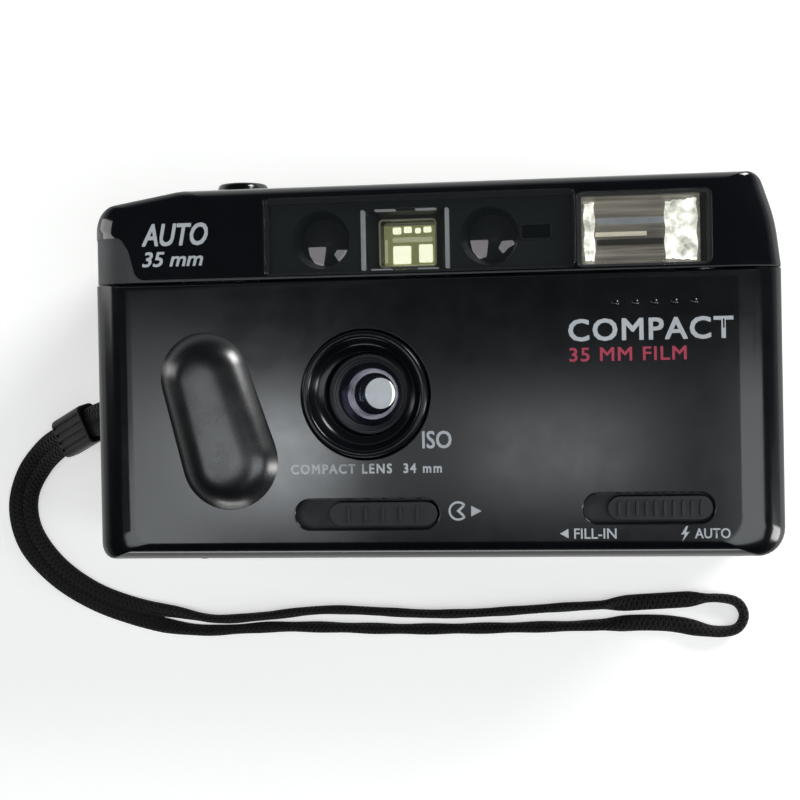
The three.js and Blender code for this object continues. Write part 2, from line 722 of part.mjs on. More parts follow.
function batteryCell(z, up) {
  const { x, radius, length } = cell;
  const bottom = -32.1;
  const body = bar('y', radius, bottom + (up ? 0 : 1), bottom + length - (up ? 1 : 0), [x, z], 20);
  const nubFrom = up ? bottom + length - 1.2 : bottom;
  return join(body, bar('y', 2.75, nubFrom, nubFrom + 1.2, [x, z]));
}

// ---------------------------------------------------------------- buttons, counter, base

function shutterButton() {
  const top = halfHeight + buttonRise;
  return turned([[0, 26.4], [1.6, 26.4], [1.6, 31.2], [5.9, 31.2], [5.9, 32.1], [button.radius, 32.1],
    [button.radius, top - 0.9], [button.radius - 0.8, top - 0.1], [0, top - 0.1]],
  'y', [button.x, button.z], 20);
}

function buttonSpring() {
  const turns = 3.5;
  class Coil extends THREE.Curve {
    getPoint(t) {
      const angle = 2 * Math.PI * turns * t;
      return new THREE.Vector3(
        button.x + 2.6 * Math.cos(angle), 27 + 3.7 * t, button.z + 2.6 * Math.sin(angle),
      );
    }
  }
  const wire = new THREE.Shape([0, 1, 2, 3].map((i) => (
    new THREE.Vector2(0.25 * Math.cos(i * Math.PI / 2), 0.25 * Math.sin(i * Math.PI / 2))
  )));
  return new THREE.ExtrudeGeometry(wire, { steps: 28, extrudePath: new Coil(), bevelEnabled: false });
}

function counterDial() {
  return turned([[0, 30.2], [0.9, 30.2], [0.9, 30.8], [5.6, 30.8], [5.6, 31.6], [0, 31.6]], 'y',
    [dial.x, dial.z], 20);
}

function counterWindow() {
  return turned([[0, 32.2], [2.9, 32.2], [2.9, 33.9], [0, halfHeight]], 'y', [dial.x, dial.z], 16);
}

function rewindButton() {
  return turned([[0, -halfHeight - baseBump], [0.9, -halfHeight - baseBump], [1.2, -halfHeight - 0.4],
    [1.2, -31.9], [2.2, -31.9], [2.2, -31], [0, -31]], 'y', [rewindKey.x, rewindKey.z], 16);
}

function tripodSocket() {
  return turned(ring(2.9, 4.5, -halfHeight + 0.1, -28.4), 'y', [tripod.x, tripod.z], 16);
}

function baseScrew({ x, z }) {
  const screw = turned([[0, -33.9], [1.2, -33.9], [1.7, -33.5], [1.7, -32.85], [0.85, -32.85],
    [0.85, -30.2], [0, -30.2]], 'y', [x, z], 16);
  return cut(
    screw,
    slab(x - 1.1, x + 1.1, -34, -33.3, z - 0.22, z + 0.22),
    slab(x - 0.22, x + 0.22, -34, -33.3, z - 1.1, z + 1.1),
  );
}

// ---------------------------------------------------------------- film door fittings

function pressurePlate() {
  return plate(box2(-31, 7.6, -21.4, 13.2, 1.5), 3.3, 4.2);
}

// A bowed leaf: its foot is on the door and its two ends bear on the pressure plate.
function pressureSpring() {
  const bow = new THREE.Shape([
    [-24, 3.02], [-13.5, 2.12], [-9.5, 2.12], [1, 3.02], [1, 3.2], [-9.5, 2.3], [-13.5, 2.3], [-24, 3.2],
  ].map(([x, z]) => new THREE.Vector2(x, z)));
  return alongY(bow, -8, -0.2);
}

function doorWindow() {
  return plate(box2(16.1, 27.9, -14.9, 4.9, 1.4), 0.4, 1.9);
}

function doorLatch() {
  const knob = slab(60.9, 62.7, -3.2, 3.2, 4.6, 9.4);
  const ribs = [-2, -1, 0, 1, 2].map((y) => slab(62.5, halfWidth, y - 0.25, y + 0.25, 5, 9));
  return join(slab(60.4, 61.2, -8, 6.8, 4.2, 10), knob, ...ribs);
}

// ---------------------------------------------------------------- strap

function strapLug() {
  const { y0, y1, z } = lug;
  return cut(
    slab(-61.35, -60.35, y0 - 2, y1 + 2, z - 3.8, z + 3.8),
    slab(-70, -50, y0, y1, z - 2.8, z - 0.7),
    slab(-70, -50, y0, y1, z + 0.7, z + 2.8),
  );
}

// One length of cord: out of the lug, through the slider, along the surface to a fold, and back.
const strapOut = [
  [-62.7, -4.6, 18.2], [-67.4, -5.9, 16.6], [-72.6, -7.4, 12.5], [-77.2, -9.3, 8.8], [-81.7, -11.3, 5.1],
  [-86.9, -14.4, 2.5], [-91.4, -19.8, 1.4], [-93.4, -27, 1.2], [-91.6, -34.8, 1.2], [-85.6, -41.8, 1.2],
  [-76.8, -47.3, 1.2], [-66, -51, 1.2], [-54, -53, 1.2], [-36, -52.3, 1.2], [-8, -52.7, 1.2],
  [22, -52.1, 1.2], [42, -51.5, 1.2],
];
const strapFold = [
  [53.4, -53.1, 1.2], [56.7, -52.3, 1.2], [57.9, -49.8, 1.2], [56.7, -47.3, 1.2], [53.4, -46.4, 1.2],
];
const strapBack = [
  [44, -46.9, 1.2], [24, -48.1, 1.2], [-2, -49.6, 1.2], [-27, -48.8, 1.2], [-40, -50.1, 1.2],
  [-50, -50.7, 1.2], [-58.5, -49.3, 1.2], [-67.5, -47.9, 1.2], [-77, -44.3, 1.2], [-85, -38.3, 1.2],
  [-89.7, -31, 1.2], [-90, -24.4, 1.3], [-86.4, -18.3, 2.2], [-80.6, -14, 5.1], [-76, -12.1, 8.8],
  [-71.5, -10.2, 12.5], [-67, -9.7, 16.6], [-62.7, -9.8, 18.2],
];

function strapCord() {
  const points = [...strapOut, ...strapFold, ...strapBack].map((point) => new THREE.Vector3(...point));
  const route = new THREE.CatmullRomCurve3(points, false, 'centripetal');
  const corners = Array.from({ length: cord.sides }, (_, i) => {
    const angle = (2 * Math.PI * i) / cord.sides;
    return new THREE.Vector2(cord.radius * Math.cos(angle), cord.radius * Math.sin(angle));
  });
  return new THREE.ExtrudeGeometry(new THREE.Shape(corners), {
    steps: 72, extrudePath: route, bevelEnabled: false,
  });
}

const slider = { at: [-76.6, -10.7, 8.8], heading: -157, fall: 37, length: 11, width: 8.2, height: 4.4 };

// The moulded slider that both strands run through.
function strapSlider() {
  const { length, width, height } = slider;
  const body = plate(box2(-width / 2, width / 2, -height / 2, height / 2, 1.2), -length / 2, length / 2);
  return cut(body, plate(box2(-3, 3, -1.35, 1.35, 0.6), -length, length));
}

function placeSlider(mesh) {
  const heading = THREE.MathUtils.degToRad(slider.heading);
  const fall = THREE.MathUtils.degToRad(slider.fall);
  const along = new THREE.Vector3(
    Math.cos(heading) * Math.cos(fall), Math.sin(heading) * Math.cos(fall), -Math.sin(fall),
  );
  const across = new THREE.Vector3(Math.sin(heading), -Math.cos(heading), 0);
  const up = new THREE.Vector3().crossVectors(along, across);
  mesh.quaternion.setFromRotationMatrix(new THREE.Matrix4().makeBasis(across, up, along));
  mesh.position.set(...slider.at);
}

// ---------------------------------------------------------------- the camera

const camera = new THREE.Group();
camera.position.y = -(buttonRise - baseBump) / 2;

function add(name, geometry, material) {
  const mesh = new THREE.Mesh(closed(geometry), material);
  mesh.name = name;
  camera.add(mesh);
  return mesh;
}

add('front_cover', frontCover(), satin);
add('top_cover', topCover(), satin);
add('front_band', frontBand(), gloss);
add('window_panel', plate(box2(windowBox.x0 + 0.15, windowBox.x1 - 0.15, windowBox.y0 + 0.15,
  windowBox.y1 - 0.15, 1.1), 38.3, bandZ), smoked);
add('grip_pad', gripPad(), satin);
add('rear_frame', rearFrame(), black);
add('back_door', backDoor(), satin);
add('door_hinge_pin', bar('y', 0.7, -27.4, 13.4, [hinge.x, hinge.z], 12), steel);
add('battery_door', batteryDoor(), satin);

add('lens_bezel', lensBezel(), gloss);
add('lens_barrel', lensBarrel(), black);
add('front_element', frontElement(), coated);
add('rear_element', rearElement(), coated);
add('lens_mount', lensMount(), black);
add('lens_cover_blade', lensCoverBlade(), black);
add('lens_cover_switch', slideKnob(barrier, 3.15, 5), black);
add('flash_switch', slideKnob(flashKey, 1.6, 10), black);

add('shutter_plate', shutterPlate(), black);
add('shutter_blade_left', shutterBlade(shutterPivots[0], 20.9), steel);
add('shutter_blade_right', shutterBlade(shutterPivots[1], 20.3), steel);
add('light_box', lightBox(), black);
add('gate_plate', gatePlate(), black);

add('cassette_chamber', cassetteChamber(), black);
add('spool_chamber', spoolChamber(), black);
add('takeup_spool', takeupSpool(), nylon);
add('drive_motor', driveMotor(), steel);
add('motor_pinion', motorPinion(), brass);
add('reduction_gear', reductionGear(), nylon);
add('sprocket_shaft', sprocketShaft(), black);
add('rewind_fork', rewindFork(), nylon);

add('optics_mask', opticsMask(), black);
add('af_emitter_lens', focusLens(focusEyes[0]), smoked);
add('af_receiver_lens', focusLens(focusEyes[1]), smoked);
add('meter_cell', meterCell(), smoked);
add('finder_tunnel', finderTunnel(), black);
add('finder_objective', finderObjective(), clear);
add('finder_eyepiece', finderEyepiece(), clear);
add('flash_window', flashWindow(), clear);
add('flash_reflector', flashReflector(), mirror);
add('flash_tube', flashTube(), clear);
add('flash_capacitor', flashCapacitor(), black);
add('circuit_board', circuitBoard(), board);

add('battery_box', batteryBox(), black);
add('battery_rear', batteryCell(cell.rearZ, false), cellWrap);
add('battery_front', batteryCell(cell.frontZ, true), cellWrap);

add('shutter_button', shutterButton(), satin);
add('button_spring', buttonSpring(), steel);
add('counter_dial', counterDial(), nylon);
add('counter_window', counterWindow(), clear);
add('rewind_button', rewindButton(), black);
add('tripod_socket', tripodSocket(), steel);
baseScrews.forEach((place, i) => add(`base_screw_${i + 1}`, baseScrew(place), steel));

add('pressure_plate', pressurePlate(), black);
add('pressure_spring', pressureSpring(), steel);
add('door_window', doorWindow(), clear);
add('door_latch', doorLatch(), black);
add('strap_lug', strapLug(), steel);

add('strap_cord', strapCord(), weave);
placeSlider(add('strap_slider', strapSlider(), black));

const object = new THREE.Group();
object.add(camera);

export default object;
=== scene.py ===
"""The looks of a compact 35 mm camera that lies on its back with its wrist strap beside it.

Shapes are drawn in millimetres about the middle of the camera's body, and put() moves them into the
row frame, in metres. +Z is the way the lens looks, +Y is the top of the camera.
"""

import math
import json

import bmesh
import bpy
from mathutils import Matrix, Vector


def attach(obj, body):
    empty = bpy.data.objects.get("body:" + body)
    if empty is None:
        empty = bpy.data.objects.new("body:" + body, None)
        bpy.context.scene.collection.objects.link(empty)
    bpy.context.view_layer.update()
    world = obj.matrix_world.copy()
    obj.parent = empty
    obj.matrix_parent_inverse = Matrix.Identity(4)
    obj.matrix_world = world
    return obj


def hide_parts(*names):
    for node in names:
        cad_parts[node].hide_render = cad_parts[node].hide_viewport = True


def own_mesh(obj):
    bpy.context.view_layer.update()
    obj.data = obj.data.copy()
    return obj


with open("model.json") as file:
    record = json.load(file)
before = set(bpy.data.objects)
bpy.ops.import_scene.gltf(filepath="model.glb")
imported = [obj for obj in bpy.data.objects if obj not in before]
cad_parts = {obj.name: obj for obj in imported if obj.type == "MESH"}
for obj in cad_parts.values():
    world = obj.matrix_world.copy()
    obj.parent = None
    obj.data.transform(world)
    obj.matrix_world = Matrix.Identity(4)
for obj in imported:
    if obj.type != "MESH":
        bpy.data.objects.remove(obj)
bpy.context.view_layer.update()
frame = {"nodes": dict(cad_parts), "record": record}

LIFT = -0.85  # the body's middle lies this far from the row's origin along Y, in mm
TO_ROW = Matrix.Scale(0.001, 4) @ Matrix.Translation((0, LIFT, 0))

HALF_WIDTH = 63.0
HALF_HEIGHT = 34.1
FACE = 40.2  # front of the lower cover
BAND = 39.4  # front of the upper cover
SEAM = 17.15
LENS = (-11.5, -4.1)


def row(x, y, z):
    return TO_ROW @ Vector((x, y, z))


# ---------------------------------------------------------------- camera, first of all

eye = bpy.data.cameras.new("eye")
eye.lens = 72.1
eye.sensor_width = 36.0
eye.clip_start = 0.01
viewer = bpy.data.objects.new("viewer", eye)
bpy.context.collection.objects.link(viewer)
stand = Vector((34.6, -2.05, 327.1))
aim = Vector((-6.6, -5.36, 30.0))
look = (aim - stand).normalized()
right = look.cross(Vector((0.0174, 0.9998, -0.0135))).normalized()
up = right.cross(look)
turn = Matrix((right, up, -look)).transposed().to_4x4()
viewer.matrix_world = Matrix.Translation(row(*stand)) @ turn
bpy.context.scene.camera = viewer

# ---------------------------------------------------------------- node helpers


class Paint:
    """A material with a Principled shader, built up a few nodes at a time."""

    def __init__(self, name, colour, roughness=0.5, **sockets):
        self.material = bpy.data.materials.new(name)
        self.material.use_nodes = True
        self.tree = self.material.node_tree
        self.shader = self.tree.nodes["Principled BSDF"]
        self.set("Base Color", (*colour, 1.0))
        self.set("Roughness", roughness)
        for socket, value in sockets.items():
            self.set(socket.replace("_", " "), value)
        self.place = None

    def set(self, socket, value):
        self.shader.inputs[socket].default_value = value

    def node(self, kind, **values):
        node = self.tree.nodes.new(kind)
        for key, value in values.items():
            if key in node.inputs:
                node.inputs[key].default_value = value
            else:
                setattr(node, key, value)
        return node

    def link(self, source, target):
        self.tree.links.new(source, target)

    def where(self):
        if self.place is None:
            self.place = self.node("ShaderNodeTexCoord").outputs["Object"]
        return self.place

    def noise(self, scale, detail=2.0, roughness=0.5, stretch=None):
        node = self.node("ShaderNodeTexNoise", Scale=scale, Detail=detail, Roughness=roughness)
        source = self.where()
        if stretch:
            mapping = self.node("ShaderNodeMapping", Scale=stretch)
            self.link(source, mapping.inputs["Vector"])
            source = mapping.outputs["Vector"]
        self.link(source, node.inputs["Vector"])
        return node.outputs["Fac"]

    def spread(self, source, low, high, start=0.3, end=0.7):
        node = self.node("ShaderNodeMapRange")
        for key, value in {"From Min": start, "From Max": end, "To Min": low, "To Max": high}.items():
            node.inputs[key].default_value = value
        self.link(source, node.inputs["Value"])
        return node.outputs["Result"]

    def shades(self, source, dark, light):
        ramp = self.node("ShaderNodeValToRGB")
        ramp.color_ramp.elements[0].color = (*dark, 1)
        ramp.color_ramp.elements[1].color = (*light, 1)
        ramp.color_ramp.elements[0].position = 0.3
        ramp.color_ramp.elements[1].position = 0.7
        self.link(source, ramp.inputs["Fac"])
        self.link(ramp.outputs["Color"], self.shader.inputs["Base Color"])

    def rough(self, source, low, high):
        self.link(self.spread(source, low, high), self.shader.inputs["Roughness"])

    def bump(self, source, strength, distance):
        node = self.node("ShaderNodeBump", Strength=strength, Distance=distance)
        self.link(source, node.inputs["Height"])
        self.link(node.outputs["Normal"], self.shader.inputs["Normal"])


def moulded(name, colour, roughness, grain=0.12, lift=1.35, **sockets):
    """Moulded plastic: fine spark-eroded grain, and slow changes of colour and gloss."""
    paint = Paint(name, colour, roughness, **sockets)
    broad = paint.noise(60, 3)
    paint.shades(broad, [c * 0.85 for c in colour], [c * lift for c in colour])
    paint.rough(paint.noise(240, 4, 0.6), roughness * 0.88, roughness * 1.12)
    if grain:
        paint.bump(paint.noise(5200, 2, 0.6), grain, 0.00005)
    return paint.material


def metal(name, colour, roughness, stretch=(1, 1, 1), grain=0.08):
    paint = Paint(name, colour, roughness, Metallic=1.0)
    lines = paint.noise(2600, 3, 0.6, stretch)
    paint.rough(lines, roughness * 0.75, roughness * 1.3)
    paint.bump(lines, grain, 0.00003)
    return paint.material


def pane(name, colour, opacity, roughness=0.03, lines=0.0):
    """A thin clear or smoked moulding that light passes straight through, with moulded lines."""
    paint = Paint(name, colour, roughness, Alpha=opacity)
    paint.set("Specular IOR Level", 0.9)
    paint.rough(paint.noise(300, 3), roughness * 0.8, roughness * 1.4)
    if lines:
        wave = paint.node("ShaderNodeTexWave", Scale=310.0, Distortion=0.4)
        wave.bands_direction = "X"
        paint.link(paint.where(), wave.inputs["Vector"])
        paint.bump(wave.outputs["Fac"], lines, 0.0003)
    else:
        paint.bump(paint.noise(90, 2), 0.02, 0.0002)
    return paint.material


def mirrored(name, dark, light, scale, stretch, glow, roughness=0.25):
    """Reflector metal whose creases show as darker and lighter patches; the same patches glow, a painted reflection
    of the light that the metal would catch.
    """
    paint = Paint(name, light, roughness, Metallic=0.4)
    creases_and_painted_glow = paint.noise(scale, 3, 0.6, stretch)
    paint.shades(creases_and_painted_glow, dark, light)
    ramp = paint.shader.inputs["Base Color"].links[0].from_socket
    paint.link(ramp, paint.shader.inputs["Emission Color"])
    paint.set("Emission Strength", glow)
    paint.bump(creases_and_painted_glow, 0.5, 0.0003)
    return paint.material


# Painted light: a surface that glows though it is no lamp. Its emission stands in for light that it would catch,
# reflect or let through.
def glowing(name, colour, strength, roughness=0.4):
    paint = Paint(name, colour, roughness)
    paint.set("Emission Color", (*colour, 1))
    paint.set("Emission Strength", strength)
    paint.shades(paint.noise(500, 3), [c * 0.75 for c in colour], colour)
    return paint.material


def braid(name):
    """Flat braided cord: crossing diagonal strands, drawn from the lengths kept on the mesh."""
    paint = Paint(name, (0.006, 0.006, 0.007), 0.85)
    paint.set("Specular IOR Level", 0.25)
    paint.set("Sheen Weight", 0.08)
    paint.set("Sheen Roughness", 0.4)
    uv = paint.node("ShaderNodeUVMap", uv_map="cord")
    split = paint.node("ShaderNodeSeparateXYZ")
    paint.link(uv.outputs["UV"], split.inputs["Vector"])
    strands = []
    for sign in (1, -1):
        slope = paint.node("ShaderNodeMath", operation="MULTIPLY_ADD")
        paint.link(split.outputs["Y"], slope.inputs[0])
        slope.inputs[1].default_value = sign * 6.0
        scaled = paint.node("ShaderNodeMath", operation="MULTIPLY")
        paint.link(split.outputs["X"], scaled.inputs[0])
        scaled.inputs[1].default_value = 0.95
        paint.link(scaled.outputs[0], slope.inputs[2])
        around = paint.node("ShaderNodeMath", operation="MULTIPLY")
        paint.link(slope.outputs[0], around.inputs[0])
        around.inputs[1].default_value = 2 * math.pi
        wave = paint.node("ShaderNodeMath", operation="SINE")
        paint.link(around.outputs[0], wave.inputs[0])
        strands.append(wave.outputs[0])
    over = paint.node("ShaderNodeMath", operation="MAXIMUM")
    paint.link(strands[0], over.inputs[0])
    paint.link(strands[1], over.inputs[1])
    fibres = paint.noise(5200, 3, 0.7)
    both = paint.node("ShaderNodeMath", operation="MULTIPLY_ADD")
    paint.link(fibres, both.inputs[0])
    both.inputs[1].default_value = 0.35
    paint.link(over.outputs[0], both.inputs[2])
    paint.shades(paint.spread(both.outputs[0], 0, 1, -0.6, 1.2), (0.002, 0.002, 0.002), (0.010, 0.010, 0.011))
    paint.bump(both.outputs[0], 0.8, 0.00022)
    return paint.material


SATIN = moulded("satin_black", (0.0022, 0.0027, 0.0036), 0.135, 0.02)
GLOSS = moulded("gloss_black", (0.0022, 0.0028, 0.0040), 0.07, 0)
MATTE = moulded("matte_black", (0.0065, 0.0070, 0.0080), 0.5, 0.2)
PAD = moulded("grip_black", (0.0030, 0.0035, 0.0042), 0.26, 0.04, Specular_IOR_Level=0.8)
BEZEL = moulded("bezel_black", (0.0022, 0.0026, 0.0036), 0.2, 0.02, Specular_IOR_Level=0.28)
BARREL = moulded("barrel_grey", (0.017, 0.019, 0.024), 0.5, 0.15)
GREY = moulded("patch_grey", (0.030, 0.031, 0.034), 0.42, 0.15)
SMOKED = pane("smoked_window", (0.010, 0.013, 0.014), 0.30, 0.04)
CLEAR = pane("clear_plastic", (0.10, 0.11, 0.11), 0.12)
RIBBED = pane("ribbed_clear", (0.06, 0.06, 0.055), 0.18, 0.06, 0.5)
MASK = moulded("mask_grey", (0.012, 0.017, 0.016), 0.45, 0.1)
INK = moulded("white_print", (0.44, 0.47, 0.50), 0.5, 0.05, 1.05)
RED = moulded("red_print", (0.36, 0.03, 0.07), 0.5, 0.05, 1.1)
PAINTED_EDGE_HIGHLIGHT = glowing("painted_edge_highlight", (0.40, 0.42, 0.43), 0.55)
CHIP_PAINTED_GLOW = glowing("pale_chip_painted_glow", (0.50, 0.48, 0.50), 0.75)
GLOW = glowing("finder_light", (0.97, 0.98, 0.74), 2.4)
FINDER_DIM_GLOW = glowing("finder_dim_glow", (0.55, 0.56, 0.36), 1.3)
FINDER_HAZE_GLOW = glowing("finder_haze_glow", (0.20, 0.20, 0.15), 0.6)
FINDER_OLIVE_GLOW = glowing("finder_olive_glow", (0.26, 0.28, 0.12), 1.3)
LIT_LEAF_PAINTED_GLOW = glowing("leaf_painted_light", (0.92, 0.90, 0.84), 1.8)
SHADED_LEAF_PAINTED_GLOW = glowing("leaf_painted_shade", (0.62, 0.66, 0.70), 1.2)
SHEEN = mirrored("dark_sheen", (0.02, 0.02, 0.05), (0.62, 0.60, 0.72), 170, (1, 1, 1), 0.35)
COATED = pane("coated_glass", (0.010, 0.012, 0.030), 0.20, 0.02)
COATED.node_tree.nodes["Principled BSDF"].inputs["Specular Tint"].default_value = (0.55, 0.55, 1.0, 1)
STEEL = metal("steel", (0.58, 0.59, 0.60), 0.28)
BRASS = metal("brass", (0.69, 0.53, 0.28), 0.3)
SILVER = metal("reflector", (0.95, 0.95, 0.92), 0.12, grain=0.25)
# The flash reflector's trough and foil glow: painted reflections, banded in the trough and bright at the foil ends.
TROUGH = mirrored("reflector_trough", (0.07, 0.065, 0.055), (0.34, 0.32, 0.275), 700, (0.05, 1, 1), 0.55)
FOIL = mirrored("foil", (0.24, 0.25, 0.21), (0.98, 0.98, 0.92), 420, (1, 1, 1), 1.5)
TUBE_PAINTED_GLINT = glowing("painted_tube_glint", (0.72, 0.67, 0.54), 0.75)
SKY_REFLECTION_GLOW = glowing("painted_sky_reflection", (0.22, 0.24, 0.26), 0.7)
SLEEVE = moulded("sleeve", (0.012, 0.012, 0.014), 0.25, 0.05)
FILM_GLASS = pane("film_window", (0.02, 0.022, 0.022), 0.55, 0.05)
NYLON = moulded("nylon", (0.70, 0.69, 0.64), 0.5, 0.1, 1.05)
BOARD = moulded("board", (0.03, 0.14, 0.06), 0.45, 0.2)
WRAP = moulded("cell_wrap", (0.30, 0.27, 0.07), 0.3, 0.05)
DIAL_INK = moulded("dial_ink", (0.02, 0.02, 0.02), 0.6, 0.1)
BRAID = braid("strap")
SLIDER = moulded("slider", (0.003, 0.003, 0.005), 0.5, 0.2, Specular_IOR_Level=0.3)

by_slot = {
    "satin_black": SATIN, "gloss_black": GLOSS, "matte_black": MATTE, "smoked_window": SMOKED,
    "clear_plastic": CLEAR, "coated_glass": COATED, "steel": STEEL, "brass": BRASS, "reflector": SILVER,
    "nylon": NYLON, "board": BOARD, "cell_wrap": WRAP, "strap": BRAID, "slider": SLIDER,
}
slot_of = {part["node"]: part["material_slot"] for part in frame["record"]["subparts"]}
body_of = {node: body for body, nodes in frame["record"]["behaviour"]["bodies"].items() for node in nodes}
for name, node in frame["nodes"].items():
    node.data.materials.clear()
    node.data.materials.append(by_slot[slot_of[name]])

# ---------------------------------------------------------------- outlines and solids


def rounded(corners, steps=8):
    """The points of a closed outline from corners (x, y) or (x, y, radius)."""
    points = []
    for i, corner in enumerate(corners):
        here = Vector(corner[:2])
        radius = corner[2] if len(corner) > 2 else 0
        if not radius:
            points.append(here)
            continue
        back = (Vector(corners[i - 1][:2]) - here).normalized()
        ahead = (Vector(corners[(i + 1) % len(corners)][:2]) - here).normalized()
        half = back.angle(ahead) / 2
        centre = here + (back + ahead).normalized() * radius / math.sin(half)
        start = here + back * radius / math.tan(half) - centre
        side = -1 if back.cross(ahead) > 0 else 1
        for k in range(steps + 1):
            angle = side * (math.pi - 2 * half) * k / steps
            points.append(centre + Vector((
                start.x * math.cos(angle) - start.y * math.sin(angle),
                start.x * math.sin(angle) + start.y * math.cos(angle),
            )))
    return points


def box2(x0, x1, y0, y1, radius=0.0, steps=6):
    return rounded([(x0, y0, radius), (x1, y0, radius), (x1, y1, radius), (x0, y1, radius)], steps)


def loft(rings, closed=True, ends=True):
    """A skin through rings of points; each ring has the same number of them."""
    bm = bmesh.new()
    grid = [[bm.verts.new(p) for p in ring] for ring in rings]
    count = len(grid[0])
    for low, high in zip(grid, grid[1:]):
        for i in range(count if closed else count - 1):
            j = (i + 1) % count
            bm.faces.new((low[i], low[j], high[j], high[i]))
    if ends:
        bm.faces.new(list(reversed(grid[0])))
        bm.faces.new(grid[-1])
        if not closed:
            bm.faces.new([ring[0] for ring in grid] + [ring[-1] for ring in reversed(grid)])
    bmesh.ops.remove_doubles(bm, verts=bm.verts, dist=1e-5)
    bmesh.ops.recalc_face_normals(bm, faces=bm.faces)
    return bm


def prism(points, z0, z1):
    return loft([[(p[0], p[1], z) for p in points] for z in (z0, z1)])


def slab(x0, x1, y0, y1, z0, z1):
    return prism(box2(x0, x1, y0, y1), z0, z1)


def turned(profile, centre, steps=72, axis="z"):
    """A profile of (radius, height) turned about a line along x, y or z, through the other two in centre."""
    bm = bmesh.new()
    columns = []
    for k in range(steps):
        angle = 2 * math.pi * k / steps
        c, s = math.cos(angle), math.sin(angle)
        column = []
        for r, h in profile:
            across, along = centre[0] + r * c, centre[1] + r * s
            place = {"x": (h, across, along), "y": (across, h, along), "z": (across, along, h)}[axis]
            column.append(bm.verts.new(place))
        columns.append(column)
    for a, b in zip(columns, columns[1:] + columns[:1]):
        for i in range(len(profile) - 1):
            bm.faces.new((a[i], b[i], b[i + 1], a[i + 1]))
    bmesh.ops.remove_doubles(bm, verts=bm.verts, dist=1e-5)
    bmesh.ops.dissolve_degenerate(bm, edges=bm.edges, dist=1e-6)
    bmesh.ops.recalc_face_normals(bm, faces=bm.faces)
    return bm


def arc(cx, cy, radius, start, end, steps=6):
    """Points on a circle between two angles in degrees."""
    angles = [math.radians(start + (end - start) * k / steps) for k in range(steps + 1)]
    return [(cx + radius * math.cos(a), cy + radius * math.sin(a)) for a in angles]


def drum(radius, z0, z1, centre, steps=64, axis="z"):
    return turned([(0, z0), (radius, z0), (radius, z1), (0, z1)], centre, steps, axis)


def stadium_outline(x, length, y, height, grow=0.0):
    half = height / 2 + grow
    return box2(x - grow, x + length + grow, y - half, y + half, half, 14)


def stadium(x, length, y, height, z0, z1, grow=0.0):
    return prism(stadium_outline(x, length, y, height, grow), z0, z1)


def flared(outline, z0, face, radius, steps=4):
    """A cutter whose hole has a rounded edge at a face; outline(grow) gives its ring."""
    rings = [[(p[0], p[1], z0) for p in outline(0)]]
    for k in range(steps + 1):
        angle = math.pi / 2 * k / steps
        grow, z = radius * (1 - math.cos(angle)), face - radius * (1 - math.sin(angle))
        rings.append([(p[0], p[1], z) for p in outline(grow)])
    rings.append([(p[0], p[1], face + 20) for p in outline(radius)])
    return loft(rings)


def flared_box(x0, x1, y0, y1, corner, z0, face, radius):
    def outline(grow):
        return box2(x0 - grow, x1 + grow, y0 - grow, y1 + grow, corner + grow)

    return flared(outline, z0, face, radius)


def merged(*parts):
    bm = bmesh.new()
    for part in parts:
        mesh = bpy.data.meshes.new("part")
        part.to_mesh(mesh)
        bm.from_mesh(mesh)
        bpy.data.meshes.remove(mesh)
        part.free()
    return bm


def thing(bm, name="work"):
    mesh = bpy.data.meshes.new(name)
    bm.to_mesh(mesh)
    bm.free()
    obj = bpy.data.objects.new(name, mesh)
    bpy.context.scene.collection.objects.link(obj)
    return obj


def settle(obj):
    """Puts what the object's modifiers make into its mesh."""
    depsgraph = bpy.context.evaluated_depsgraph_get()
    mesh = bpy.data.meshes.new_from_object(obj.evaluated_get(depsgraph), depsgraph=depsgraph)
    old = obj.data
    obj.modifiers.clear()
    obj.data = mesh
    bpy.data.meshes.remove(old)
    return obj


def shaped(base, *steps):
    """A solid after a row of ("cut" | "join" | "keep", solid) steps."""
    obj = thing(base)
    words = {"cut": "DIFFERENCE", "join": "UNION", "keep": "INTERSECT"}
    for word, part in steps:
        other = thing(part)
        modifier = obj.modifiers.new(word, "BOOLEAN")
        modifier.operation = words[word]
        modifier.solver = "EXACT"
        modifier.object = other
        settle(obj)
        bpy.data.objects.remove(other)
    return obj


def put(shape, name, body, material, stands_for=(), bevel=0.0, segments=2, angle=32, place=None,
        even=False):
    """Turns a drawn shape, in mm, into a named piece that rides on a body."""
    obj = shape if isinstance(shape, bpy.types.Object) else thing(shape)
    obj.name = obj.data.name = name
    if bevel:
        modifier = obj.modifiers.new("edges", "BEVEL")
        modifier.limit_method = "ANGLE"
        modifier.angle_limit = math.radians(angle)
        modifier.width = bevel
        modifier.segments = segments
        modifier.harden_normals = False
        modifier.miter_outer = "MITER_ARC"
        settle(obj)
    mesh = obj.data
    mesh.shade_smooth()
    mesh.set_sharp_from_angle(angle=math.radians(angle))
    if bevel or even:
        modifier = obj.modifiers.new("normals", "WEIGHTED_NORMAL")
        modifier.keep_sharp = True
        modifier.weight = 100
        settle(obj)
        mesh = obj.data
    if place:
        mesh.transform(place)
    mesh.transform(TO_ROW)
    mesh.name = name
    mesh.materials.clear()
    for one in material if isinstance(material, (list, tuple)) else [material]:
        mesh.materials.append(one)
    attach(obj, body)
    if stands_for:
        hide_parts(*([stands_for] if isinstance(stands_for, str) else stands_for))
    return obj


def soften(node, width=0.2, angle=30, material=None, segments=2):
    """A copy of a CAD node with its edges broken, which stands for that node."""
    bm = bmesh.new()
    bm.from_mesh(frame["nodes"][node].data)
    bmesh.ops.transform(bm, matrix=TO_ROW.inverted(), verts=bm.verts)
    bmesh.ops.remove_doubles(bm, verts=bm.verts, dist=1e-3)
    bmesh.ops.dissolve_limit(bm, angle_limit=math.radians(1), verts=bm.verts, edges=bm.edges)
    return put(bm, "soft_" + node, body_of[node], material or by_slot[slot_of[node]], node, width,
               segments, angle)


# ---------------------------------------------------------------- the body's covers


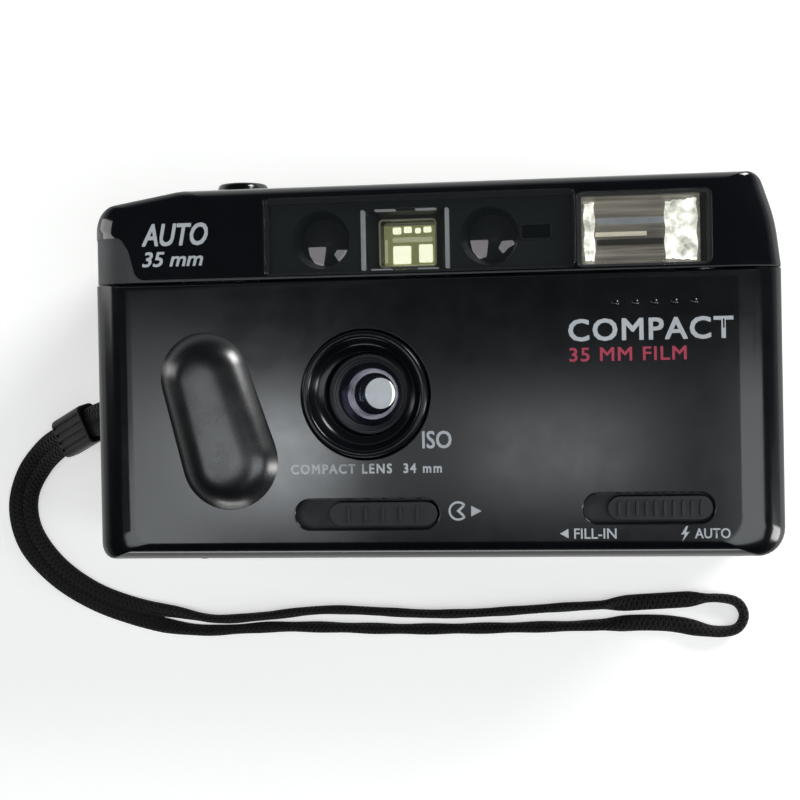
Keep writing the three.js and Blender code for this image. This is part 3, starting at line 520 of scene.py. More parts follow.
def falling(points, centre_y, face, across, deep, steps, flip=False):
    """Rings that close an open outline in towards its face; each is (width, end, top) by direction."""
    normals = []
    for i, p in enumerate(points):
        before, after = points[max(i - 1, 0)], points[min(i + 1, len(points) - 1)]
        tangent = (Vector(after) - Vector(before)).normalized()
        normals.append((abs(tangent.y), abs(tangent.x)))
    normals[0] = normals[-1] = (1.0, 0.0)
    width = max(abs(p[0]) for p in points)
    height = max(abs(p[1] - centre_y) for p in points)
    rings = []
    for k in range(steps + 1):
        angle = math.pi / 2 * k / steps
        inset, fall = 1 - math.cos(angle), 1 - math.sin(angle)
        sx = 1 - across[0] * inset / width
        sy = 1 - across[1] * inset / height
        rings.append([(
            p[0] * sx, centre_y + (p[1] - centre_y) * sy,
            face + (1 if flip else -1) * fall * (deep[0] * n[0] ** 2 + deep[1] * n[1] ** 2),
        ) for p, n in zip(points, normals)])
    return rings


def lower_outline(inset, top):
    x, y = HALF_WIDTH - inset, -HALF_HEIGHT + inset
    return rounded([(-x, top), (-x, y, 3 - inset / 2), (x, y, 5 - inset / 2), (x, top)], 8)


def lower_solid(inset, rear, top):
    points = lower_outline(inset, top)
    start = [(x, y, rear) for x, y in points]
    return loft([start, *falling(points, top, FACE - inset, (8, 3.2), (5, 3.2), 10)], closed=False)


def upper_outline(inset, bottom):
    x, y = HALF_WIDTH - inset, HALF_HEIGHT - inset
    points = rounded([
        (x, 17.3), (62 - inset, 25.6 - inset / 4, 30), (59.2 - inset * 0.8, y, 3.2), (-46, y, 12),
        (-x, 31.2 - inset, 5), (-x, 17.3),
    ], 8)
    return [(x, bottom), *points[1:-1], (-x, bottom)]


def upper_solid(inset, face, rear, bottom, back_edge=2.6):
    points = upper_outline(inset, bottom)
    back = falling(points, bottom, rear, (0.6, back_edge), (0.6, back_edge), 6, flip=True)
    front = falling(points, bottom, face, (8, 2.4), (5, 2.4), 10)
    return loft([*reversed(back), *front], closed=False)


def seam_cutter():
    edge, low = SEAM - 0.15, FACE
    profile = [(low + 1, edge + 1), (low + 1, edge - 1.6), *arc(low - 1.6, edge - 1.6, 1.6, 0, 90, 8),
               (low - 1.6, edge + 1)]
    return loft([[(x, y, z) for z, y in profile] for x in (-70, 70)])


def rim_of(radius, z, roll):
    """The rounded edge of a round hole: out and up from a wall to a face."""
    angles = [math.pi / 8 * k for k in range(1, 5)]
    return [(radius - roll * math.cos(a), z + roll * math.sin(a)) for a in angles]


cover_slot = {"x": -24.8, "length": 26.3, "y": -25.9, "height": 5.4}
flash_slot = {"x": 27.4, "length": 23.05, "y": -25.2, "height": 5.3}

put(shaped(
    lower_solid(0, 14, SEAM - 0.15),
    ("cut", lower_solid(1.6, 13, SEAM + 3)),
    ("cut", seam_cutter()),
    ("cut", merged(
        turned([(0, 30), (11.75, 30), (11.75, FACE - 0.3), *rim_of(12.05, FACE - 0.3, 0.3),
                (12.05, 50), (0, 50)], LENS, 96),
        flared(lambda grow: stadium_outline(**cover_slot, grow=grow), 30, FACE, 0.3),
        flared(lambda grow: stadium_outline(**flash_slot, grow=grow), 30, FACE, 0.3),
        slab(-70, -60, -12.6, -2.0, 15.2, 21.2),
        slab(38.1, 59.1, -40, -32, 5, 34.5),
        drum(1.3, -40, -30, (-44.7, 30), 32, "y"),
        drum(4.6, -40, -30, (-2, 25), 48, "y"),
    )),
), "front_shell", "camera", SATIN, "front_cover", even=True)

window = (-30.0, 26.8, 17.9, 32.2)
flash = (27.1, 50.8, 17.9, 31.2)


def upper_holes():
    return merged(
        slab(window[0] + 0.6, window[1] - 0.6, 18.4, 31, 30, 50),
        slab(flash[0] + 0.8, flash[1] - 0.8, 18.4, 30.6, 30, 50),
        drum(5.1, 30, 40, (-37, 25), 48, "y"),
        drum(3.1, 30, 40, (-22, 14), 40, "y"),
        slab(-9.4, 1.0, 19.5, 27.9, -5, 5),
    )


put(shaped(
    upper_solid(0, BAND, 0, SEAM + 0.15),
    ("cut", upper_solid(1.6, BAND - 2.4, 1.6, 0, 1.0)),
    ("cut", merged(*(prism(box2(*hole, 1.2), BAND - 1.2, 50) for hole in (window, flash)))),
    ("cut", upper_holes()),
), "top_shell", "camera", GREY, "top_cover", even=True)

# The glossy skin over all of the upper cover's front, top edge and right end, but for a grey patch.
band_edge = rounded([
    (-54.2, 17.75, 2.0), (70, 17.45), (70, 60), (-80, 60), (-80, 25.7), (-57.2, 25.7, 1.6),
    (-55.6, 23.2, 3.0),
], 6)
put(shaped(
    upper_solid(-0.10, BAND + 0.10, 14, SEAM + 0.15),
    ("keep", prism(band_edge, 22, 60)),
    ("cut", upper_solid(0.3, BAND - 0.3, 13, 0)),
    ("cut", merged(*(flared_box(*hole, 1.2, 30, BAND + 0.1, 0.12) for hole in (window, flash)))),
    ("cut", merged(drum(5.2, 30, 40, (-37, 25), 48, "y"), drum(3.2, 30, 40, (-22, 14), 40, "y"))),
), "gloss_band", "camera", GLOSS, "front_band", even=True)

for node in ("rear_frame", "back_door", "battery_door", "door_latch", "pressure_plate", "gate_plate"):
    soften(node, 0.18)
for node in ("battery_box", "light_box", "cassette_chamber", "spool_chamber"):
    soften(node, 0.12)

x0, x1, y0, y1 = window
put(prism(box2(x0 + 0.12, x1 - 0.12, y0 + 0.12, y1 - 0.12, 1.1), 38.3, BAND + 0.08),
    "window_pane", "camera", SMOKED, "window_panel", 0.18, 3)

# ---------------------------------------------------------------- grip


def grip_ring(inset, z, steps=20):
    """The pad's outline, two unequal half circles joined by straight sides, drawn in by the inset."""
    upper, lower = (-41.4, -0.5, 8.3), (-36.9, -15.9, 9.0)
    axis = Vector((upper[0] - lower[0], upper[1] - lower[1]))
    lean = math.asin((lower[2] - upper[2]) / axis.length)
    base = math.atan2(axis.y, axis.x)
    ring = []
    for (x, y, r), start, end in ((upper, -math.pi / 2 + lean, math.pi / 2 - lean),
                                  (lower, math.pi / 2 - lean, 1.5 * math.pi + lean)):
        for k in range(steps + 1):
            angle = base + start + (end - start) * k / steps
            ring.append((x + (r - inset) * math.cos(angle), y + (r - inset) * math.sin(angle), z))
    return ring


GRIP_SPAN, GRIP_HEIGHT, GRIP_RINGS = 7.8, 2.9, 18
grip_rings = [grip_ring(0, FACE - 0.02)]
for k in range(1, GRIP_RINGS + 1):
    inset = GRIP_SPAN * (k / GRIP_RINGS) ** 1.6
    grip_rings.append(grip_ring(inset, FACE + GRIP_HEIGHT * (1 - (1 - inset / GRIP_SPAN) ** 3.2)))
put(loft(grip_rings), "grip_dome", "camera", PAD, "grip_pad", angle=70)

# ---------------------------------------------------------------- lens



def bulge(radius, base, height, half_angle, step):
    """A lens's rounded front, from its rim in to the axis, as (radius, height)."""
    flat = math.cos(math.radians(half_angle))
    points = []
    for degrees in range(half_angle, -1, -step):
        angle = math.radians(degrees)
        across = radius * math.sin(angle) / math.sin(math.radians(half_angle))
        points.append((across, base + height * (math.cos(angle) - flat) / (1 - flat)))
    return points


put(turned([
    (8.0, 38.9), (11.5, 38.9), (11.5, 41.4), *arc(11.0, 41.7, 0.5, 0, 90, 4),
    *arc(10.7, 41.5, 0.7, 90, 150, 3), (9.3, 40.4), (8.7, 39.95), (7.75, 39.7), (7.7, 38.9), (8.0, 38.9),
], LENS, 96), "lens_collar", "camera", BEZEL, "lens_bezel")
put(turned([
    (4.8, 24), (7.5, 24), (7.5, 36.3), *arc(7.2, 36.3, 0.3, 0, 90, 3), (6.8, 36.6), (6.6, 36.3), (6.6, 36.0),
    (6.3, 35.9), (6.2, 35.5), (5.95, 35.4), (5.9, 32.4), (4.8, 31.4), (4.8, 24),
], LENS, 96), "barrel", "lens_group", BARREL, "lens_barrel")
put(turned([(0, 33), (5.8, 33), *bulge(5.8, 34.4, 2.0, 38, 2)], LENS, 96), "front_glass", "lens_group",
    COATED, "front_element", angle=40)

# ---------------------------------------------------------------- thumb slides


def thumb_slide(name, slot, knob, ribs, pitch, body, node):
    end = slot["x"] + slot["length"] - 0.3
    middle = end - knob / 2
    y, height = slot["y"], slot["height"]
    cap = stadium(end - knob, knob, y, height - 1, 37.6, FACE - 0.2)
    flange = slab(slot["x"] - 1.5, end + 1.2, y - 3.6, y + 3.6, 37.0, 38.2)
    bars = []
    for i in range(ribs):
        x = middle + (i - (ribs - 1) / 2) * pitch
        bars.append(prism(box2(x - 0.3, x + 0.3, y - 1.4, y + 1.4, 0.29, 5), 39.5, FACE + 0.3))
    base = shaped(cap, ("join", flange))
    put(base, name, body, MATTE, node, 0.14, 3)
    for i, rib in enumerate(bars):
        put(rib, f"{name}_rib_{i + 1}", body, MATTE, (), 0.12, 2)


thumb_slide("cover_slide", cover_slot, 19.8, 5, 3.15, "cover_switch", "lens_cover_switch")
thumb_slide("flash_slide", flash_slot, 18.4, 10, 1.6, "flash_switch", "flash_switch")

# ---------------------------------------------------------------- lens inside

# The shutter leaves glow, painted light for the light that would reach them through the lens; the left leaf is a
# painted shaded copy, darker and bluer.
for side in (-1, 1):
    x = LENS[0] + side * 2.4
    z = 20.9 if side < 0 else 20.3
    leaf = shaped(
        drum(4.6, z, z + 0.3, (x, LENS[1]), 64),
        ("join", slab(x - 1.4, x + 1.4, LENS[1] - 11, LENS[1] - 3, z, z + 0.3)),
        ("join", drum(1.8, z, z + 0.3, (x, LENS[1] - 11), 40)),
        ("cut", drum(0.8, z - 1, z + 1, (x, LENS[1] - 11), 32)),
    )
    word = "left" if side < 0 else "right"
    put(leaf, f"leaf_{word}", f"shutter_{word}", SHADED_LEAF_PAINTED_GLOW if side < 0 else LIT_LEAF_PAINTED_GLOW, f"shutter_blade_{word}", 0.04, 1)

put(turned([(3.45, 25.2), (4.78, 25.2), (4.78, 26.0), (3.75, 26.0), (3.45, 25.7), (3.45, 25.2)], LENS, 72),
    "aperture_ring", "lens_group", GLOSS, ())
# The inner cone's patches glow: a painted reflection, the lilac crescents inside the lens.
put(turned([(3.95, 28.75), (4.1, 28.7), (4.75, 31.0), (4.78, 31.35), (4.6, 31.35), (3.95, 28.75)], LENS, 96),
    "inner_cone", "lens_group", SHEEN, (), angle=50)

put(turned([(0, 27.2), (1.2, 27.15), (2.4, 26.95), (3.6, 26.6), (4.7, 26.2), (4.7, 28.6), (0, 28.6)], LENS, 72),
    "rear_glass", "lens_group", CLEAR, "rear_element")
soften("lens_mount", 0.08)
soften("lens_cover_blade", 0.06)
soften("shutter_plate", 0.08)

# ---------------------------------------------------------------- window row

EYES = ((-19.8, 24.4), (11.3, 24.2))
FINDER = (-4.2, 23.7)
bore = [(0, 31.5), (4.3, 31.5), (5.2, 35.6), (5.5, 36.7), (5.5, 40), (0, 40)]
put(shaped(
    slab(-29.8, 26.6, 17.9, 31.1, 35.6, 36.7),
    ("join", merged(*(drum(6.2, 30.8, 36.2, eye_at, 64) for eye_at in EYES))),
    ("cut", merged(*(turned(bore, eye_at, 64) for eye_at in EYES))),
    ("cut", slab(FINDER[0] - 8.2, FINDER[0] + 8.2, FINDER[1] - 5.4, FINDER[1] + 6.1, 30, 50)),
    ("cut", slab(16.9, 22.5, 23.3, 26.2, 30, 50)),
), "optics_plate", "camera", MASK, "optics_mask", 0.08, 2)
for word, node, (x, y) in (("left", "af_emitter_lens", EYES[0]), ("right", "af_receiver_lens", EYES[1])):
    put(turned([(0, 32.5), (4.1, 32.5), *bulge(4.1, 32.6, 2.9, 62, 4)], (x, y), 64), f"eye_lens_{word}",
        "camera", CLEAR, node, angle=50)
    well = turned([(0, 31.52), (5.05, 31.52), (5.05, 31.6), (0, 31.6)], (x, y), 48)
    put(well, f"eye_well_{word}", "camera", MATTE, ())
    put(turned([(5.35, 36.7), (5.6, 36.7), (5.6, 36.78), (5.35, 36.78), (5.35, 36.7)], (x, y), 64),
        f"eye_ring_{word}", "camera", MASK, ())


# The pale blocks behind the autofocus lenses, as corners (x, y, radius) from each lens's middle. They glow, a
# painted stand-in for the bright reflections seen in the lenses.
chips = {
    "emitter_chip": (EYES[0], [(-3.3, -0.9, 0.2), (-3.0, -2.5, 0.8), (-1.9, -4.2, 0.8), (-0.5, -4.6, 0.3),
                               (0.1, -0.9, 0.2)]),
    "emitter_frame": (EYES[0], [(2.2, -1.5, 0.2), (1.6, -2.4, 0.3), (2.6, -3.9, 0.4), (4.0, -3.4, 0.8),
                                (4.2, -1.6, 0.2)]),
    "receiver_chip": (EYES[1], [(-4.0, -0.3, 0.2), (-3.6, -2.2, 0.6), (-2.4, -3.8, 0.6), (-1.0, -3.4, 0.4),
                                (-0.6, -0.3, 0.3)]),
    "receiver_frame": (EYES[1], [(1.9, -0.6, 0.2), (1.2, -1.8, 0.3), (2.0, -3.0, 0.3), (3.0, -1.9, 0.2),
                                 (4.2, -1.2, 0.2), (3.9, -0.5, 0.2)]),
}
for name, ((x, y), corners) in chips.items():
    outline = rounded([(x + px, y + py, r) for px, py, r in corners], 5)
    put(prism(outline, 31.6, 32.1), name, "camera", CHIP_PAINTED_GLOW, (), 0.08, 2)

fx, fy = FINDER


def frame_ring(x0, x1, y0, y1, wide, z0, z1, radius=0.8):
    outer = prism(box2(x0, x1, y0, y1, radius), z0, z1)
    inner = prism(box2(x0 + wide, x1 - wide, y0 + wide, y1 - wide, radius * 0.6), z0 - 1, z1 + 1)
    return shaped(outer, ("cut", inner))


tunnel = shaped(
    slab(fx - 6.2, fx + 6.2, fy - 5.2, fy + 5.2, 4.2, 31.05),
    ("join", slab(fx - 8.6, fx + 8.6, fy - 5.7, fy + 6.5, 31, 35.4)),
    ("cut", slab(fx - 5.1, fx + 5.1, fy - 4.25, fy + 4.25, 0, 40)),
    ("cut", loft([
        [(x, y, 31.9) for x, y in box2(fx - 5.1, fx + 5.1, fy - 4.25, fy + 4.25, 0.5)],
        [(x, y, 36.0) for x, y in box2(fx - 8.1, fx + 8.1, fy - 5.3, fy + 6.0, 0.5)],
    ])),
)
put(tunnel, "finder_bell", "camera", MASK, "finder_tunnel", 0.08, 2)
# The finder's bars and glints glow: painted highlights on the edges of its clear frame.
for word, x in (("left", fx - 7.75), ("right", fx + 7.75)):
    put(prism(box2(x - 0.35, x + 0.35, fy - 5.2, fy + 5.9, 0.3), 35.5, 37.1), f"finder_bar_{word}",
        "camera", PAINTED_EDGE_HIGHLIGHT, (), 0.1, 2)
for i, (x, y) in enumerate(((-4.4, -5.1), (4.2, -5.1), (-3.6, 5.75), (3.9, 5.75))):
    glint = prism(box2(fx + x - 1.9, fx + x + 1.9, fy + y - 0.16, fy + y + 0.16, 0.12), 35.5, 37.1)
    put(glint, f"finder_glint_{i + 1}", "camera", PAINTED_EDGE_HIGHLIGHT, (), 0.05, 2)
# The finder's inner rim and its ground glass glow: painted light for what the finder lets through.
put(frame_ring(fx - 5.35, fx + 5.35, fy - 4.45, fy + 4.45, 0.22, 32.2, 33.2), "finder_rim_inner", "camera", FINDER_HAZE_GLOW,
    (), 0.06, 2)
put(prism(box2(fx - 5.0, fx + 5.0, fy - 4.1, fy + 4.1, 0.6), 28.0, 28.8), "finder_ground", "camera", FINDER_OLIVE_GLOW, (),
    0.1, 2)
# What is seen through the finder, painted as glowing patches in place of the light that comes through it: bright
# patches and the lines of its frame, as (x0, x1, y0, y1).
finder_view = {
    "bright": [(-3.3, 0.1, -3.6, -0.2), (1.6, 4.2, -3.4, 0.0), (-3.3, -1.7, 2.0, 3.3), (-1.2, 0.3, 2.2, 3.4),
               (0.9, 2.0, 2.1, 3.1), (2.5, 4.0, 2.2, 3.3)],
    "middling": [(-3.4, 4.2, 0.5, 1.4), (4.65, 4.95, -3.9, 3.6), (-4.8, -4.3, -3.4, 1.0),
                 (-3.6, 4.6, -4.05, -3.8)],
    "dim": [(-4.9, 4.9, 3.6, 4.0)],
}
finder_lights = {"bright": GLOW, "middling": FINDER_DIM_GLOW, "dim": FINDER_HAZE_GLOW}
for kind, panes in finder_view.items():
    for i, (x0, x1, y0, y1) in enumerate(panes):
        corner = min(0.3, (x1 - x0) / 3, (y1 - y0) / 3)
        put(prism(box2(fx + x0, fx + x1, fy + y0, fy + y1, corner), 28.8, 29.0), f"finder_{kind}_{i + 1}",
            "camera", finder_lights[kind], (), 0.06, 2)
dish = turned([(0, 30.6), (2.2, 30.75), (4.4, 31.2), (7, 32.2), (7, 40), (0, 40)], (fx, fy), 72)
put(shaped(prism(box2(fx - 5.0, fx + 5.0, fy - 4.15, fy + 4.15, 0.4), 29.6, 31.6), ("cut", dish)),
    "finder_glass", "camera", CLEAR, "finder_objective", 0.08, 2, angle=25)
put(slab(17, 22.4, 23.4, 26.1, 34.2, 36.2), "cell_glass", "camera", SMOKED, "meter_cell", 0.25, 3)
put(frame_ring(16.9, 22.5, 23.3, 26.2, 0.25, 36.7, 36.9, 0.4), "cell_rim", "camera", GREY, (), 0.05, 2)

# ---------------------------------------------------------------- flash

RX0, RX1, RY0, RY1 = 27.9, 48.9, 18.2, 30.6
middle = (RY0 + RY1) / 2


def trough_ring(x, grow, depth, lip):
    half = (RY1 - RY0) / 2 - 0.25 + grow / 2
    curve = [(x, middle + half * (k / 12 - 1), 36.5 - depth * (1 - (k / 12 - 1) ** 2)) for k in range(25)]
    return curve + [(x, middle + half, 36.5 + lip), (x, middle - half, 36.5 + lip)]


put(shaped(
    loft([trough_ring(x, 0.5, 6.0, 0.0001) for x in (RX0, RX1)]),
    ("cut", loft([trough_ring(x, 0.0, 5.3, 2) for x in (RX0 + 0.3, RX1 - 0.3)])),
), "flash_trough", "camera", TROUGH, "flash_reflector", 0.05, 2)


def crinkled(x0, x1, count, lean):
    """An end of the reflector: strips of foil folded to and fro, bright from the painted glow of the foil's
    material.
    """
    rows = []
    for k in range(count + 1):
        t = k / count
        x = x0 + (x1 - x0) * t
        ripple = 0.35 * math.sin(k * 2.4) + 0.2 * math.sin(k * 5.1)
        rows.append([(x + 0.15 * math.sin(j * 1.7 + k), RY0 + 0.35 + (RY1 - RY0 - 0.7) * j / 9,
                      35.1 + lean * t + ripple * math.sin(j * 1.3 + k) * 0.8) for j in range(10)])
    bm = bmesh.new()
    grid = [[bm.verts.new(p) for p in points] for points in rows]
    for a, b in zip(grid, grid[1:]):
        for j in range(9):
            bm.faces.new((a[j], b[j], b[j + 1], a[j + 1]))
    bmesh.ops.solidify(bm, geom=bm.faces[:], thickness=0.08)
    bmesh.ops.recalc_face_normals(bm, faces=bm.faces)
    return bm


put(crinkled(RX0 + 0.4, RX0 + 2.3, 4, 0.4), "foil_left", "camera", FOIL, (), angle=15)
put(crinkled(RX1 - 6.2, RX1 - 0.5, 10, 0.7), "foil_right", "camera", FOIL, (), angle=15)
put(turned([
    (0, RX0 - 1.2), (0.8, RX0 - 1.2), (1.1, RX0 - 0.8), (1.1, RX1 + 0.8), (0.8, RX1 + 1.2), (0, RX1 + 1.2),
], (middle, 34.2), 40, "x"), "xenon_tube", "camera", CLEAR, "flash_tube")
# A glowing line in the tube: a painted highlight along its glass.
put(drum(0.4, RX0 + 2.4, RX1 - 9.4, (middle - 0.4, 34.3), 24, "x"), "tube_glint_line", "camera", TUBE_PAINTED_GLINT, ())
# Two bands in the reflector, painted reflections: a dark one for the dark room, and a bluish glowing one for the
# sky.
for word, y, tall, material in (("dark", middle - 1.7, 1.1, MATTE), ("blue", middle + 2.5, 1.9, SKY_REFLECTION_GLOW)):
    streak = prism(box2(RX0 + 2.6, RX1 - 6.2, y - tall / 2, y + tall / 2, 0.4), 32.2, 32.35)
    put(streak, f"streak_{word}", "camera", material, ())
pane_outer = prism(box2(27.25, 50.65, 18.05, 31.05, 1.1), 38.3, BAND + 0.06)
put(shaped(pane_outer, ("join", slab(28.1, 49.8, 18.6, 30.4, 37.3, 38.4))), "flash_pane", "camera", RIBBED,
    "flash_window", 0.15, 3)

# ---------------------------------------------------------------- lettering


def lettering(name, words, x0, x1, y0, y1, z, ink=INK, bold=0.0, lean=0.0, spacing=1.0, turn_to=None,
              body="camera"):
    """Printed words that fill a box on the front; turn_to moves them from the front to another face.

    Bold words are struck four times, bold millimetres to each side, so that every stroke is wider.
    """
    curve = bpy.data.curves.new(name, "FONT")
    curve.body = words
    curve.shear = lean
    curve.space_character = spacing
    curve.extrude = 0.5
    curve.resolution_u = 3
    text = bpy.data.objects.new(name, curve)
    bpy.context.scene.collection.objects.link(text)
    depsgraph = bpy.context.evaluated_depsgraph_get()
    mesh = bpy.data.meshes.new_from_object(text.evaluated_get(depsgraph), depsgraph=depsgraph)
    bpy.data.objects.remove(text)
    low = [min(v.co[i] for v in mesh.vertices) for i in range(3)]
    high = [max(v.co[i] for v in mesh.vertices) for i in range(3)]
    fit = Matrix.Translation((x0, y0, z - 0.01)) @ Matrix.Diagonal((
        (x1 - x0 - 2 * bold) / (high[0] - low[0]), (y1 - y0 - 2 * bold) / (high[1] - low[1]),
        0.035 / (high[2] - low[2]), 1,
    )) @ Matrix.Translation((-low[0], -low[1], -low[2]))
    print_mesh = bmesh.new()
    strikes = ((0, 0), (2, 0), (2, 2), (0, 2)) if bold else ((0, 0),)
    for k, (dx, dy) in enumerate(strikes):
        strike = mesh.copy()
        strike.transform(Matrix.Translation((dx * bold, dy * bold, k * 0.002)) @ fit)
        print_mesh.from_mesh(strike)
        bpy.data.meshes.remove(strike)
    bpy.data.meshes.remove(mesh)
    bmesh.ops.dissolve_limit(print_mesh, angle_limit=math.radians(1), verts=print_mesh.verts,
                             edges=print_mesh.edges)
    return put(print_mesh, name, body, ink, (), place=turn_to, angle=20)


def mark(name, points, z=FACE, ink=INK, thick=0.035):
    shape = prism([Vector(p) for p in points], z - 0.01, z - 0.01 + thick)
    return put(shape, name, "camera", ink, ())


lettering("word_large", "COMPACT", 25.3, 54.2, 4.6, 8.6, FACE, bold=0.10, spacing=1.1)
lettering("word_red", "35 MM FILM", 25.4, 46.0, 1.0, 3.5, FACE, RED, 0.05, spacing=1.1)
lettering("badge_top", "AUTO", -53.0, -40.4, 23.9, 28.1, BAND + 0.1, bold=0.10, lean=0.25)
lettering("badge_low", "35 mm", -53.0, -41.4, 20.1, 22.9, BAND + 0.1, bold=0.07, lean=0.25)
lettering("film_code", "ISO", -1.3, 4.05, -14.1, -10.9, FACE, bold=0.06)
lettering("lens_legend", "COMPACT LENS  34 mm", -25.5, 2.2, -18.5, -16.7, FACE, bold=0.06, spacing=1.25)
lettering("legend_fill", "FILL-IN", 25.7, 33.2, -30.55, -28.7, FACE, bold=0.03)
lettering("legend_auto", "AUTO", 46.9, 53.1, -30.6, -28.8, FACE, bold=0.03)
mark("arrow_left", [(23.2, -29.6), (24.7, -28.75), (24.7, -30.45)])
mark("bolt", [(45.4, -28.4), (44.5, -29.9), (45.15, -29.8), (44.7, -31.1), (46.0, -29.4), (45.35, -29.5),
              (45.75, -28.4)])
mark("arrow_right", [(7.35, -24.5), (9.25, -25.45), (7.35, -26.4)])
hook = arc(5.0, -25.4, 1.75, 40, 320, 24)
mark("open_ring", hook + [(5.0 + (x - 5.0) * 0.78, -25.4 + (y + 25.4) * 0.78) for x, y in reversed(hook)])
mark("open_chevron", [(5.9, -24.3), (4.7, -25.4), (5.9, -26.5), (6.2, -26.2), (5.35, -25.4), (6.2, -24.6)])
pip = [(0, FACE - 0.05), (0.62, FACE - 0.05), (0.62, FACE + 0.02), (0.45, FACE + 0.16), (0.25, FACE + 0.2),
       (0, FACE + 0.21)]
for i, x in enumerate((33.7, 37.2, 40.55, 44.05, 47.5)):
    put(turned(pip, (x, 11.3), 28), f"pip_{i + 1}", "camera", SATIN, (), angle=50)

# ---------------------------------------------------------------- top, base and ends

put(turned([
    (0, 26.4), (1.6, 26.4), (1.6, 31.2), (5.9, 31.2), (5.9, 32.1), (4.8, 32.1), (4.8, 35.7),
    *arc(4.1, 35.85, 0.65, 0, 90, 4), (3.4, 36.42), (2.2, 36.25), (1.0, 36.15), (0, 36.12),
], (-37, 25), 72, "y"), "release", "button", SATIN, "shutter_button")
put(turned([
    (5.2, 34.0), (6.6, 34.0), (6.6, 34.15), *arc(6.3, 34.2, 0.25, 0, 90, 3), (5.5, 34.45), (5.2, 34.3),
    (5.2, 34.0),
], (-37, 25), 72, "y"), "release_ring", "camera", GLOSS, ())
put(turned([(0, 32.2), (2.9, 32.2), (2.9, 33.8), (2.7, 34.0), (1.8, 34.1), (0, 34.15)], (-22, 14), 56, "y"),
    "dial_glass", "camera", CLEAR, "counter_window")
put(turned([(0, 30.2), (0.9, 30.2), (0.9, 30.8), (5.4, 30.8), (5.6, 31.0), (5.6, 31.4), (5.4, 31.6), (0, 31.6)],
           (-22, 14), 72, "y"), "dial_disc", "dial", NYLON, "counter_dial")
face_up = Matrix.Translation((-22, 31.6, 14)) @ Matrix.Rotation(-math.pi / 2, 4, "X")
for i, number in enumerate(("0", "12", "24", "36")):
    wide = 0.5 if len(number) == 1 else 1.0
    lettering(f"count_{number}", number, -wide, wide, 1.2, 2.5, 0, DIAL_INK,
              turn_to=face_up @ Matrix.Rotation(math.pi / 2 * i, 4, "Z"), body="dial")
put(turned([
    (0, -34.9), (0.7, -34.9), (0.95, -34.8), (1.05, -34.5), (1.2, -34.4), (1.2, -31.9), (2.2, -31.9), (2.2, -31),
    (0, -31),
], (-44.7, 30), 40, "y"), "rewind_pin", "rewind_key", MATTE, "rewind_button")
thread = [(2.9, -28.4)]
for k in range(9):
    thread += [(3.25, -28.7 - k * 0.6), (2.9, -29.0 - k * 0.6)]
put(turned([(4.5, -28.4), (4.5, -33.8), (4.3, -34.0), (3.3, -34.0), (2.9, -33.8)] + thread[::-1] + [(4.5, -28.4)],
           (-2, 25), 64, "y"), "thread_bush", "camera", STEEL, "tripod_socket", angle=20)
screw = [(0, -33.9), (0.8, -33.9), (1.4, -33.75), (1.7, -33.45), (1.7, -32.85), (0.85, -32.85), (0.85, -30.2),
         (0, -30.2)]
for i, (x, z) in enumerate(((-22, 8), (26, 8))):
    put(shaped(
        turned(screw, (x, z), 48, "y"),
        ("cut", merged(slab(x - 1.0, x + 1.0, -34, -33.35, z - 0.2, z + 0.2))),
        ("cut", merged(slab(x - 0.2, x + 0.2, -34, -33.35, z - 1.0, z + 1.0))),
    ), f"cross_screw_{i + 1}", "camera", STEEL, f"base_screw_{i + 1}", 0.05, 2)

# ---------------------------------------------------------------- film and power, seen when opened


def toothed(teeth, module, y0, y1, centre, phase=0.0, bore=0.0):
    """A gear about a line along y; its teeth have rounded shoulders."""
    pitch = teeth * module / 2
    flank = ((-0.32, -1.15), (-0.2, 0), (-0.13, 0.75), (-0.08, 0.85), (0.08, 0.85), (0.13, 0.75), (0.2, 0),
             (0.32, -1.15))
    ring = []
    for i in range(teeth):
        for turn, height in flank:
            angle = 2 * math.pi * (i + turn + phase) / teeth
            radius = pitch + height * module
            ring.append((centre[0] + radius * math.cos(angle), centre[1] + radius * math.sin(angle)))
    wheel = loft([[(x, y, z) for x, z in ring] for y in (y0, y1)])
    return shaped(wheel, ("cut", drum(bore, y0 - 1, y1 + 1, centre, 32, "y"))) if bore else thing(wheel)


def coiled(centre, y0, rise, radius, wire, turns, steps=160):
    """A round wire wound about a line along y."""
    rings = []
    for k in range(steps + 1):
        angle = 2 * math.pi * turns * k / steps
        out = Vector((math.cos(angle), 0, math.sin(angle)))
        centre_here = Vector((centre[0], y0 + rise * k / steps, centre[1])) + out * radius
        rings.append([centre_here + out * wire * math.cos(a) + Vector((0, wire * math.sin(a), 0))
                      for a in (math.pi / 4 * j for j in range(8))])
    return loft(rings)


